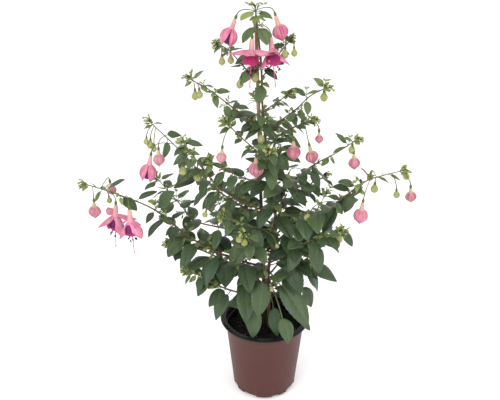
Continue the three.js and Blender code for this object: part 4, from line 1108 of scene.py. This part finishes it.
def make_tie(name, height, stem_line, finishes):
    """A wire tie: two turns round the cane and the stem, with twisted ends."""
    cane_line = Route([CANE_FOOT, CANE_HEAD])
    cane = cane_line.at(cane_line.share_at_height(height))
    stem = stem_line.at(stem_line.share_at_height(height))
    gap = (cane - stem) * (1, 1, 0)
    reach = np.linalg.norm(gap) / 2
    along = gap / (2 * reach)
    across = np.array([-along[1], along[0], 0])
    middle = (cane + stem) / 2
    inside = CANE_RADIUS + TIE_WIRE_RADIUS + 0.2
    angles = np.linspace(0, 4 * math.pi, 73)
    shift = reach * np.clip(2.4 * np.cos(angles), -1, 1)
    loop = (middle + np.outer(shift + inside * np.cos(angles), along)
            + np.outer(inside * np.sin(angles), across)
            + np.outer(1.9 * TIE_WIRE_RADIUS * angles / (2 * math.pi) - 1.9, UP))
    shape = Shape()
    shape.add_tube(loop, np.full(len(loop), TIE_WIRE_RADIUS), 0, 8)
    front = middle - across * inside * np.sign(across[1])
    turns = np.linspace(0, 1, TIE_TAIL_POINTS)
    for half in (0, math.pi):
        twist = half + turns * 5 * math.pi
        tail = (front + np.outer(turns * TIE_TAIL, unit(front - middle + along * 2 - UP * 2))
                + np.outer(0.9 * np.cos(twist), along) + np.outer(0.9 * np.sin(twist), UP))
        shape.add_tube(tail, np.full(TIE_TAIL_POINTS, 0.8 * TIE_WIRE_RADIUS), 0, 6)
    shape.make(f"{name}_wire", [finishes["tie"]], "tie_plastic", name)

# ---------------------------------------------------------------- stem, shoots and leaves


class Shoot:
    """The main stem or a side shoot: its line, its radii and its planned leaves."""

    def __init__(self, name, line, radii, seed):
        self.name = name
        self.line = line
        self.radii = radii
        self.seed = seed
        self.leaves = []

    def place_leaves(self, planned):
        """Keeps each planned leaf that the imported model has, at the turn that it has there."""
        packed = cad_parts[self.name].data.vertices
        tree = KDTree(len(packed))
        for index, vertex in enumerate(packed):
            tree.insert(vertex.co / MM, index)
        tree.balance()
        for share, blade in planned:
            for turn in LEAF_TURNS:
                turned = blade.turned(turn)
                if tree.find(turned.tip())[2] < LEAF_MATCH:
                    self.leaves.append((share, turned))
                    break


def placed_leaves(name, line):
    """The leaves placed one by one: an arc from the shoot to the leaf's tip."""
    planned = []
    for share, x, y, z, droop, *stalk in PLACED_LEAVES.get(name, []):
        root = line.at(share)
        chord = np.array([x, y, z]) - root
        reach = np.linalg.norm(chord)
        half_arc = math.radians(droop / 2)
        length = reach * half_arc / math.sin(half_arc)
        rise = math.degrees(math.asin(chord[2] / reach)) + droop / 2
        heading = math.degrees(math.atan2(chord[1], chord[0]))
        planned.append((share, Blade(root, heading, rise, length, droop, *stalk)))
    return planned


def paired_leaves(line, pairs, span, lengths, seed):
    """The pairs of leaves along a shoot, each pair turned against the one before."""
    planned = []
    spread = math.radians(LEAF_SPREAD)
    for pair in range(pairs):
        share = between(span, pair / (pairs - 1))
        tangent = line.direction(share)
        roll = PAIR_ROLLS[pair % 2] + PAIR_ROLL_LUCK * (wobble(seed + pair) - 0.5)
        outward = outward_from(tangent, UP, math.radians(roll))
        for sign in (-1, 1):
            luck = wobble(seed + 31 * pair + sign * 7.7)
            aim = math.cos(spread) * tangent + math.sin(spread) * sign * outward
            length = between(lengths, share) * between(PAIR_LENGTHS, luck)
            blade = blade_towards(line.at(share), aim, length, 30 + 0.4 * length + 20 * luck)
            blade.rise = min(blade.rise, LEAF_STEEPEST)
            planned.append((share, blade))
    return planned


def stem_leaves(line):
    """The pairs of leaves on the main stem."""
    planned = []
    for pair, (height, heading, length) in enumerate(STEM_PAIRS):
        share = line.share_at_height(height)
        for turn in (0, 180):
            luck = wobble(STEM_SEED + pair + turn)
            planned.append((share, Blade(
                line.at(share), heading + turn, between(STEM_LEAF_RISE, luck),
                length * between(STEM_LEAF_LENGTHS, luck), between(STEM_LEAF_DROOP, luck))))
    return planned


def grow_shoots():
    """The main stem and its side shoots, with their leaves."""
    stem = Route(STEM_ROUTE)
    radii = (STEM_BASE_RADIUS, STEM_TIP_RADIUS)
    shoots = {"main_stem": Shoot("main_stem", stem, radii, STEM_SEED)}
    shoots["main_stem"].place_leaves(placed_leaves("main_stem", stem) + stem_leaves(stem))
    for order, (name, row) in enumerate(SHOOTS.items()):
        height, radius, pairs, span, lengths, route = row
        line = Route([stem.at(stem.share_at_height(height)), *route])
        seed = SHOOT_SEED_STEP * (order + 1)
        shoot = Shoot(name, line, (radius, SHOOT_TIP_RADIUS), seed)
        shoot.place_leaves(placed_leaves(name, line)
                           + paired_leaves(line, pairs, span, lengths, seed))
        shoots[name] = shoot
    return shoots


def add_leaf(shape, blade, seed, age, roll=LEAF_ROLL):
    """A leaf on its stalk: folded along its midrib, puckered between its veins, finely toothed.

    Slots: upper face, underside, stalk.
    """
    face = blade.length * (1 - blade.stalk) / (1 - LEAF_STALK)
    kind = 0 if face > LARGE_LEAF else 1
    rows, columns = LEAF_GRIDS[kind]
    luck = [wobble(seed + 3.1 * part) for part in range(7)]
    u = 0.5 - 0.5 * np.cos(np.linspace(0, math.pi, rows))
    v = np.linspace(-1, 1, columns)
    outline = u ** 0.62 * (1 - u) ** LEAF_POINTS[kind]
    width = min(LEAF_WIDTH_MAX, face * LEAF_WIDTH_RATIO * between(LEAF_FULLNESS, luck[0]))
    half = (width / 2 * (outline / outline.max()))[:, None]
    spread = np.abs(v)
    teeth = 1 + LEAF_TOOTH * np.where(np.arange(rows) % 2, 1, -1)
    edge = np.where(spread == 1, teeth[:, None], 1)
    along = u[:, None]
    height = half * (between(LEAF_FOLD, luck[1]) * spread
                     - between(LEAF_CURL, luck[2]) * spread ** 2.2)
    height = height + LEAF_PUCKER * face * spread ** 2 * np.sin(
        2 * math.pi * ((1 + luck[3]) * along + luck[4]) + np.where(v > 0, 1.8, 0))
    height = height + face * between(LEAF_TIP_RISE, luck[5]) * along ** 3
    points, side, lift = blade.spine(blade.stalk + (1 - blade.stalk) * u)
    lean = math.radians(roll) * (luck[6] - 0.5) * 2 + outward_roll(blade, side)
    across, out = rolled(side, lift, lean * np.minimum(1, 3 * along + 0.3))
    middle = points + face * LEAF_BOW * (luck[0] - 0.5) * np.sin(math.pi * along) * side
    top = off_midrib(middle, across, out, half * v * edge, height)
    thickness = LEAF_THICKNESS * (1 - spread ** 2) * np.sin(math.pi * along) ** 0.3
    shape.add_sheet(top, out[:, None], thickness, (0, 1), (along, v, luck[3]), age)
    add_leaf_stalk(shape, blade, middle, out, age)


def add_leaf_stalk(shape, blade, middle, out, age):
    """A leaf's stalk, which runs on as a ridge under its midrib."""
    foot = blade.spine(np.linspace(0, blade.stalk, 7))[0][:6]
    step = 2 if len(middle) > 10 else 1
    rib, beneath = middle[1:-2:step], out[1:-2:step]
    thick = 0.35 + 0.008 * blade.length
    rib_radii = thick * np.linspace(0.8, 0.15, len(rib))
    line = np.vstack([foot, rib - beneath * (0.5 * rib_radii + 0.5 * LEAF_THICKNESS)[:, None]])
    radii = np.concatenate([thick * np.linspace(1.3, 0.9, 6), rib_radii])
    shape.add_tube(line, radii, 2, 5, age)


def add_side_twigs(shape, shoot):
    """The short twig in the axil of some leaves, with small leaves brighter than the old."""
    for number, (share, leaf) in enumerate(shoot.leaves):
        seed = shoot.seed + 17.3 * number
        luck = [wobble(seed + 2.9 * part) for part in range(7)]
        if luck[6] > TWIG_SHARE:
            continue
        root, side = leaf.spine(np.array([0.0, 0.1]))[:2]
        outward = unit(root[1] - root[0])
        onward = shoot.line.direction(share)
        vigour = min(1.1, max(0.4, leaf.length / 58))
        reach = between(TWIG_REACH, luck[0]) * vigour
        aim = unit(0.7 * onward + (0.5 + luck[1]) * outward + 0.9 * (luck[2] - 0.5) * side
                   + 0.3 * luck[3] * UP)
        twig = Route([root[0], root[0] + 0.5 * reach * aim, root[0] + reach * unit(aim + 0.3 * UP)])
        shape.add_tube(twig.sample(6), np.linspace(*TWIG_RADII, 6), 2, 5)
        young = 0.3 + 0.35 * share + 0.25 * luck[4]
        length = between(TWIG_LEAF_LENGTH, luck[5]) * (0.5 + 0.5 * vigour)
        add_twig_leaves(shape, twig, seed, length, young)


def add_twig_leaves(shape, twig, seed, length, young):
    """Leaves in pairs along a twig, smaller and brighter towards its end."""
    for pair, share in enumerate((0.42, 0.98)):
        tangent = twig.direction(share)
        outward = outward_from(tangent, NEARLY_UP, 1.4 * pair + 1.2 * wobble(seed + pair))
        for sign in (-1, 1):
            luck = wobble(seed + 5.3 * pair + 1.9 * sign)
            aim = unit((0.8 + 0.5 * pair) * tangent + sign * outward + 0.15 * UP)
            size = length * (1.2 - 0.35 * pair) * (0.8 + 0.4 * luck)
            blade = blade_towards(twig.at(share), aim, size, 30 + 40 * luck)
            add_leaf(shape, blade, seed + 7 * pair + sign, min(1, young + 0.22 * pair * luck), 40)
    for number in range(2):
        aim = unit(twig.direction(1) + 0.5 * (wobble(seed + number) - 0.5) * UP)
        blade = blade_towards(twig.at(1), aim, length * (0.55 - 0.15 * number), 20)
        add_leaf(shape, blade, seed + 31 * number, min(1, young + 0.4), 60)


def add_tip_leaves(shape, shoot):
    """The cluster of young yellow-green leaves that ends a shoot."""
    end, onward = shoot.line.at(1), shoot.line.direction(1)
    for number in range(TIP_LEAVES):
        seed = shoot.seed + 900 + 7.7 * number
        open_out = 1.1 - 0.8 * number / TIP_LEAVES
        outward = outward_from(onward, (0.2, 0.9, 0.3), number * 2.3 + shoot.seed)
        aim = unit(onward + open_out * outward + 0.1 * UP)
        length = TIP_LEAF_LENGTH - 1.6 * number + 3 * wobble(seed)
        root = end - onward * (8 - 1.1 * number)
        blade = blade_towards(root, aim, length, 45 - 4 * number)
        add_leaf(shape, blade, seed, min(1, 0.55 + 0.1 * number), 20)


def add_crown_twigs(shape, stem):
    """The two thin twigs at the plant's very top and the young leaves just under them."""
    start = stem.line.at(0.985)
    for number, tip in enumerate(CROWN_TWIGS):
        twig = Route([start, (start + tip) / 2 + 3 * UP, tip])
        shape.add_tube(twig.sample(10), np.linspace(*CROWN_TWIG_RADII, 10), 2, 5)
        for leaf in range(4):
            seed = 40 + 9 * number + leaf
            luck = [wobble(seed + part) for part in range(3)]
            aim = unit(np.array([luck[0] - 0.5, luck[1] - 0.5, 0.5 * luck[2]]))
            blade = blade_towards(twig.at(0.96), aim, 6 + 2 * luck[0], 30)
            add_leaf(shape, blade, seed, 0.8, 60)
    foot = stem.line.at(0.955)
    for number, tip in enumerate(CROWN_LEAVES):
        aim = tip - foot
        blade = blade_towards(foot, unit(aim), np.linalg.norm(aim), 10)
        add_leaf(shape, blade, 70 + number, 0.75, 30)


def painted_light_and_youth(height):
    """How much lighter and yellower a leaf is for standing high on the plant: partly younger
    growth, partly painted light from above.
    """
    return np.interp(height, LIGHT_AND_YOUTH_HEIGHTS, (0, HIGHEST_LIGHT_AND_YOUTH))


def make_leaves(shoot, finishes):
    """All the leaves of a shoot, with its small twigs, as one piece."""
    shape = Shape()
    for number, (share, blade) in enumerate(shoot.leaves):
        seed = shoot.seed + 1.37 * number
        young = 0.7 * max(0, share - 0.6) if blade.length < 30 else 0
        young = 0.6 if share > YOUNG_ABOVE else young
        # partly painted light: leaves higher up blend towards the young colour, lighter as if more
        # lit from above
        lit = painted_light_and_youth(blade.root[2])
        add_leaf(shape, blade, seed, min(1, young + lit + 0.1 * wobble(seed)))
    add_side_twigs(shape, shoot)
    if shoot.name == "main_stem":
        add_crown_twigs(shape, shoot)
    else:
        add_tip_leaves(shape, shoot)
    looks = [finishes[look] for look in ("leaf_top", "leaf_under", "stalk")]
    shape.make(f"{shoot.name}_leaves", looks, "foliage", shoot.name)


def make_wood(shoot, finishes):
    """A shoot's stem, thicker where its leaves sit, and green at its end."""
    length = np.linalg.norm(np.diff(shoot.line.sample(20), axis=0), axis=1).sum()
    shares = np.linspace(0, 1, max(24, int(length / 4)))
    plain = np.interp(shares, (0, 1), shoot.radii)
    radii = plain
    for share in sorted({round(share, 3) for share, _ in shoot.leaves}):
        away = (shares - share) * length / NODE_LENGTH
        radii = radii + NODE_SWELLING * plain * np.exp(-away ** 2)
    radii[-1] *= 0.4
    points = [shoot.line.at(share) for share in shares]
    green_from, greenest = (0.6, 0.8) if shoot.name == "main_stem" else (0.35, 1)
    green = np.interp(shares, (green_from, 1), (0, greenest))
    shape = Shape()
    shape.add_tube(points, radii, 0, WOOD_SIDES, np.repeat(green, WOOD_SIDES))
    shape.make(f"{shoot.name}_wood", [finishes["bark"]], "stem_bark", shoot.name)


# ---------------------------------------------------------------- buds and flowers


def drop_of(lean):
    """The direction in which a flower hangs, for its lean to the right and away."""
    return unit(np.array([lean[0], lean[1], -1.0]))


def seed_of(row):
    """A number of its own for each flower: how far to the right it hangs."""
    return row[2][0]


def add_stalk(shape, start, head, drop, slot):
    """The stalk of a flower or bud, from its shoot over and down to the ovary."""
    bend = head - drop * max(4, 0.45 * np.linalg.norm(start - head))
    shares = np.linspace(0, 1, 12)[:, None]
    line = (1 - shares) ** 2 * start + 2 * shares * (1 - shares) * bend + shares ** 2 * (
        head + drop)
    shape.add_tube(line, np.linspace(STALK_RADIUS, STALK_RADIUS + 0.3, 12), slot, 7)


def add_ovary(shape, slot, scale=1.0):
    """The ovary, a swelling at the end of the stalk."""
    shape.add_turned([(r * scale, z * scale) for r, z in OVARY_OUTLINE], 14, 14, slot)


def seamed(folds, depth, start=0.0):
    """Puts folds round a body, with a groove of a depth at each seam."""
    def ripple(radius, height, angles):
        turn = (folds * (angles - start) / (2 * math.pi)) % 1
        groove = np.exp(-((np.minimum(turn, 1 - turn)) / 0.05) ** 2)
        crown = 0.03 * np.cos(folds * (angles - start) + math.pi)
        return radius * (1 + crown - depth * groove), height
    return ripple


def add_bud_body(shape, outline, sides, start, luck, age):
    """A bud's closed sepals, with places that are 1 at each of its four seams and 0 between."""
    turn = (4 * (np.arange(sides) / sides - start / (2 * math.pi))) % 1
    shape.add_rings(turned_rings(outline, sides, seamed(4, BUD_GROOVE, start)), 0,
                    ring_places(len(outline), np.abs(2 * turn - 1), luck), age)


def bud_outline(radius, neck_share):
    """The outline of a closed bud below its ovary: a pale neck and a round, pointed body."""
    neck = -OVARY_OUTLINE[-1][1] + neck_share * radius
    return smooth_outline([
        (1.9, -6.8), (0.17 * radius + 1.1, -8.8 - 0.12 * radius),
        (0.3 * radius + 0.4, 0.12 * radius - neck), (0.74 * radius, -neck - 0.2 * radius),
        (radius, -neck - 0.78 * radius), (0.84 * radius, -neck - 1.3 * radius),
        (0.36 * radius, -neck - 1.74 * radius), (0.05, -neck - 2.08 * radius)], 34)


def make_bud(name, row, shoots, finishes):
    """A pink bud: four sepals still closed edge to edge, on a short pale neck."""
    head, radius, neck = row[2], row[4], row[5]
    shape = Shape()
    add_ovary(shape, 1, 0.95)
    add_bud_body(shape, bud_outline(radius, neck), 48, 2 * math.pi * wobble(radius + head[0]),
                 wobble(head[0]), 0.1 + 0.6 * wobble(head[2]))
    look = "bud" if neck < 1 else "long_bud"
    hang_and_make(shape, name, "closed", row, shoots, finishes, (look, "stalk"), "bud", 1)


def make_green_buds(shoot, finishes):
    """The green buds of one shoot, with the cluster of tiny ones at its end."""
    shape = Shape()
    for owner, share, middle, radius in GREEN_BUDS:
        if owner == shoot.name:
            start = shoot.line.at(share)
            head = np.array(middle) + UP * 1.55 * radius
            add_green_bud(shape, start, head, drop_of((head - start) * 0.01), radius)
    end, onward = shoot.line.at(1), shoot.line.direction(1)
    for number in range(TIP_BUDS):
        seed = shoot.seed + 61 * number
        luck = np.array([wobble(seed + part) for part in range(5)])
        aim = unit(onward + 1.6 * (luck[:3] - 0.5))
        head = end + aim * between(TIP_BUD_REACH, luck[3])
        add_green_bud(shape, end - onward * 2, head, unit(aim - UP * 0.8),
                      between(TIP_BUD_RADIUS, luck[4]))
    shape.make(f"{shoot.name}_green_buds", [finishes["green_bud"], finishes["stalk"]], "bud",
               shoot.name)


def add_green_bud(shape, start, head, drop, radius):
    """A green bud like a pear, on its stalk."""
    bud = Shape()
    add_ovary(bud, 1, 0.8 * radius / 6)
    neck = 5 * radius / 6
    outline = smooth_outline([
        (0.34 * radius, -neck), (0.6 * radius, -neck - 0.45 * radius),
        (0.96 * radius, -neck - 1.15 * radius), (0.8 * radius, -neck - 1.8 * radius),
        (0.36 * radius, -neck - 2.15 * radius), (0.05, -neck - 2.4 * radius)], 14)
    luck = wobble(radius + head[0])
    add_bud_body(bud, outline, 20, 0, luck, luck)
    bud.move(turn_to_drop(drop), head)
    shape.take(bud)
    add_stalk(shape, start, head, drop, 1)


def add_sepal(shape, blade, seed):
    """A spread sepal: broad, pointed and arched across, wrapping the tube at its foot."""
    luck = [wobble(seed + part) for part in range(4)]
    u = np.linspace(0, 1, 22)
    v = np.linspace(-1, 1, 13)
    along = u[:, None]
    half = SEPAL_HALF_WIDTH * ((1 - along ** 2.4) * (0.42 + 1.25 * along) / 0.9)
    bend = 1 / (2 * (4 + 8 * along))
    height = -half ** 2 * v ** 2 * bend + 0.5 * np.sin(7 * along + 4 * luck[0]) * v ** 2 * along
    height = height + 0.25 * np.cos(9 * v) * along * (1 - v ** 2)
    height = height + SEPAL_LENGTH * (0.06 + 0.1 * luck[1]) * along ** 4
    points, side, lift = blade.spine(u)
    sideways = max(0, -math.sin(math.radians(2 * blade.heading)))
    across, out = rolled(side, lift, SEPAL_ROLL * sideways * outward_roll(blade, side)
                         * np.minimum(1, 1.6 * along))
    top = off_midrib(points, across, out, half * v, height)
    thickness = SEPAL_THICKNESS * (1 - v ** 4) * np.sin(math.pi * np.clip(along, 0.02, 1)) ** 0.3
    shape.add_sheet(top, out[:, None], thickness, (0, 1), (along, 0.9 * v, luck[2]),
                    0.3 + 0.3 * luck[3])


def make_calyx(name, row, shoots, finishes):
    """Ovary, tube and four spread sepals."""
    shape = Shape()
    add_ovary(shape, 2)
    shape.add_turned(TUBE_OUTLINE, 26, 28, 3)
    for number, (heading, rise) in enumerate(row[4]):
        turn = math.radians(heading)
        root = (SEPAL_INSET * math.cos(turn), SEPAL_INSET * math.sin(turn), -SEPAL_ROOT)
        add_sepal(shape, Blade(root, heading, rise, SEPAL_LENGTH, SEPAL_DROOP),
                  seed_of(row) + 3 * number)
    hang_and_make(shape, f"{name}_calyx", "detail", row, shoots, finishes, CALYX_LOOKS, "sepal", 2)


def hang_and_make(shape, node, ending, row, shoots, finishes, looks, finish_slot, stalk_slot=None):
    """Hangs a flower's part in its place, with its stalk if it has one, and makes the piece."""
    owner, share, head, lean = row[:4]
    drop = drop_of(lean)
    head = np.array(head, float)
    shape.move(turn_to_drop(drop), head)
    if stalk_slot is not None:
        add_stalk(shape, shoots[owner].line.at(share), head, drop, stalk_slot)
    shape.make(f"{node}_{ending}", [finishes[look] for look in looks], finish_slot, node)


def add_petal(shape, middle, reach, length, flare, seed, age):
    """One skirt petal: part of a bell, rolled over its neighbour, with a ruffled hem."""
    luck = [wobble(seed + part) for part in range(4)]
    u = np.linspace(0, 1, 16)[:, None]
    a = np.linspace(-1, 1, 17)[None, :]
    bell = 0.72 * (1 - (1 - u) ** 2.6) + 0.28 * u
    radius = 3 + (flare - 3) * bell + 0.8 * a * u
    ruffle = np.sin((5 + 2 * luck[0]) * a + 6 * luck[1])
    radius = radius + (0.9 * u ** 2 + 0.7 * u ** 6) * ruffle
    angle = middle + reach * a * (0.7 + 0.3 * u)
    drop = TUBE_END - 0.6 + length * u * (1 - 0.17 * a ** 2) + 0.8 * u ** 3 * np.cos(
        (6 + luck[2]) * a)
    thickness = PETAL_THICKNESS * (1 - a ** 4) * np.sin(math.pi * np.clip(u, 0.02, 0.99)) ** 0.3
    shape.add_sheet(round_axis(radius, angle, -drop), round_axis(1, angle, 0), thickness, (0, 0),
                    (u, a * 0.8, luck[3]), age)


def make_corolla(name, row, shoots, finishes):
    """The skirt: overlapping petals in layers, the inner ones more upright."""
    violet, layers, flare, length = COROLLAS[name]
    shape = Shape()
    for layer in range(layers):
        count, reach = PETAL_LAYERS[layer]
        for number in range(count):
            seed = seed_of(row) + 11 * layer + 2.3 * number
            middle = 2 * math.pi * number / count + 0.6 * layer + 0.2
            add_petal(shape, middle, reach, length - LAYER_SHORTER * layer,
                      flare - LAYER_NARROWER * layer, seed, violet * (0.75 + 0.25 * wobble(seed)))
    hang_and_make(shape, f"{name}_corolla", "detail", row, shoots, finishes, ("petal",), "petal")


def make_stamens(name, row, shoots, finishes):
    """The filaments with their dark anthers, and the longer style with its pale knob."""
    shape = Shape()
    top = -TUBE_END + 1
    for number in range(STAMENS):
        seed = seed_of(row) + 4.7 * number
        turn = 2 * math.pi * (number + 0.6 * wobble(seed)) / STAMENS
        spread = between(STAMEN_SPREAD, wobble(seed + 1))
        reach = between(STAMEN_REACH, wobble(seed + 2))
        foot, end = round_axis(np.array([1.1, spread]), turn, (top, -TUBE_END - reach))
        line = Route([foot, (foot + end) / 2 * (0.7, 0.7, 1), end]).sample(12)
        shape.add_tube(line, np.linspace(*FILAMENT_RADII, 12), 0, 6)
        add_anther(shape, end, unit(line[-1] - line[-2]), wobble(seed + 3))
    style = Route([(0, 0, top), (0.6, 0.4, -TUBE_END - 24), (1, 1, -TUBE_END - STYLE_REACH)])
    shape.add_tube(style.sample(20), np.linspace(*STYLE_RADII, 20), 0, 8)
    knob = turned_rings(smooth_outline(KNOB_OUTLINE, 10), 12, seamed(4, 0.12))
    shape.add_rings(knob + style.at(1), 2)
    hang_and_make(shape, f"{name}_stamens", "detail", row, shoots, finishes,
                  ("filament", "anther", "stigma"), "stamen")


def add_anther(shape, place, aim, luck):
    """A two-lobed anther across the end of its filament."""
    anther = Shape()
    anther.add_turned(ANTHER_OUTLINE, 9, 10, 1, seamed(2, 0.3))
    anther.move(turn_to_drop(unit(aim + np.array([luck - 0.5, 0.5 - luck, 0.2]))), place)
    shape.take(anther)


def make_lantern(name, row, shoots, finishes):
    """The half-open calyx: four sepals that bulge and have parted towards their tips."""
    shape = Shape()
    add_ovary(shape, 2)
    shape.add_turned(LANTERN_TUBE, 20, 24, 3)
    u = np.linspace(0, 1, 26)[:, None]
    a = np.linspace(-1, 1, 13)[None, :]
    base = smooth_outline(LANTERN_OUTLINE, len(u))
    parted = np.interp(u, *LANTERN_PARTING)
    depth = SEPAL_THICKNESS * (1 - a ** 6) * np.sin(math.pi * np.clip(u, 0.05, 0.98)) ** 0.3
    for number in range(4):
        luck = [wobble(seed_of(row) + 5 * number + part) for part in range(3)]
        angle = math.pi / 4 + number * math.pi / 2 + 0.1 * (luck[0] - 0.5) + parted * a
        open_out = (0.5 + 3.2 * luck[1]) * u ** 3
        radius = base[:, :1] + open_out + 0.5 * (1 - a ** 2) * u - 0.5 * np.abs(a) ** 6
        shape.add_sheet(round_axis(radius, angle, base[:, 1:]), round_axis(1, angle, 0), depth,
                        (0, 1), (u, a * 0.92, luck[2]), 0.4 + 0.3 * luck[2])
    hang_and_make(shape, f"{name}_calyx", "detail", row, shoots, finishes, CALYX_LOOKS, "sepal", 2)


def make_folded_corolla(name, row, shoots, finishes):
    """The dark petals still folded round each other inside a half-open flower."""
    def swirl(radius, height, angles):
        twist = angles * 4 + height * 0.12
        return radius * (1 + 0.07 * np.sin(twist) + 0.03 * np.sin(2 * twist)), height
    shape = Shape()
    shape.add_turned(FOLDED_OUTLINE, 28, 40, 0, swirl, 1.0)
    hang_and_make(shape, f"{name}_corolla", "detail", row, shoots, finishes, ("petal",), "petal")


# ---------------------------------------------------------------- assembly


def make_plant():
    """The pot, the soil, the cane and everything that grows."""
    finishes = make_finishes()
    shoots = grow_shoots()
    make_pot(finishes)
    make_soil(finishes)
    make_spilt_soil(finishes)
    make_cane(finishes)
    for name, height in TIE_HEIGHTS.items():
        make_tie(name, height, shoots["main_stem"].line, finishes)
    for shoot in shoots.values():
        make_wood(shoot, finishes)
        make_leaves(shoot, finishes)
        make_green_buds(shoot, finishes)
    for name, row in OPEN_FLOWERS.items():
        make_calyx(name, row, shoots, finishes)
        make_corolla(name, row, shoots, finishes)
        make_stamens(name, row, shoots, finishes)
    for name, row in HALF_OPEN_FLOWERS.items():
        make_lantern(name, row, shoots, finishes)
        make_folded_corolla(name, row, shoots, finishes)
    for name, row in COLOURED_BUDS.items():
        make_bud(name, row, shoots, finishes)


make_view()
make_studio()
make_plant()
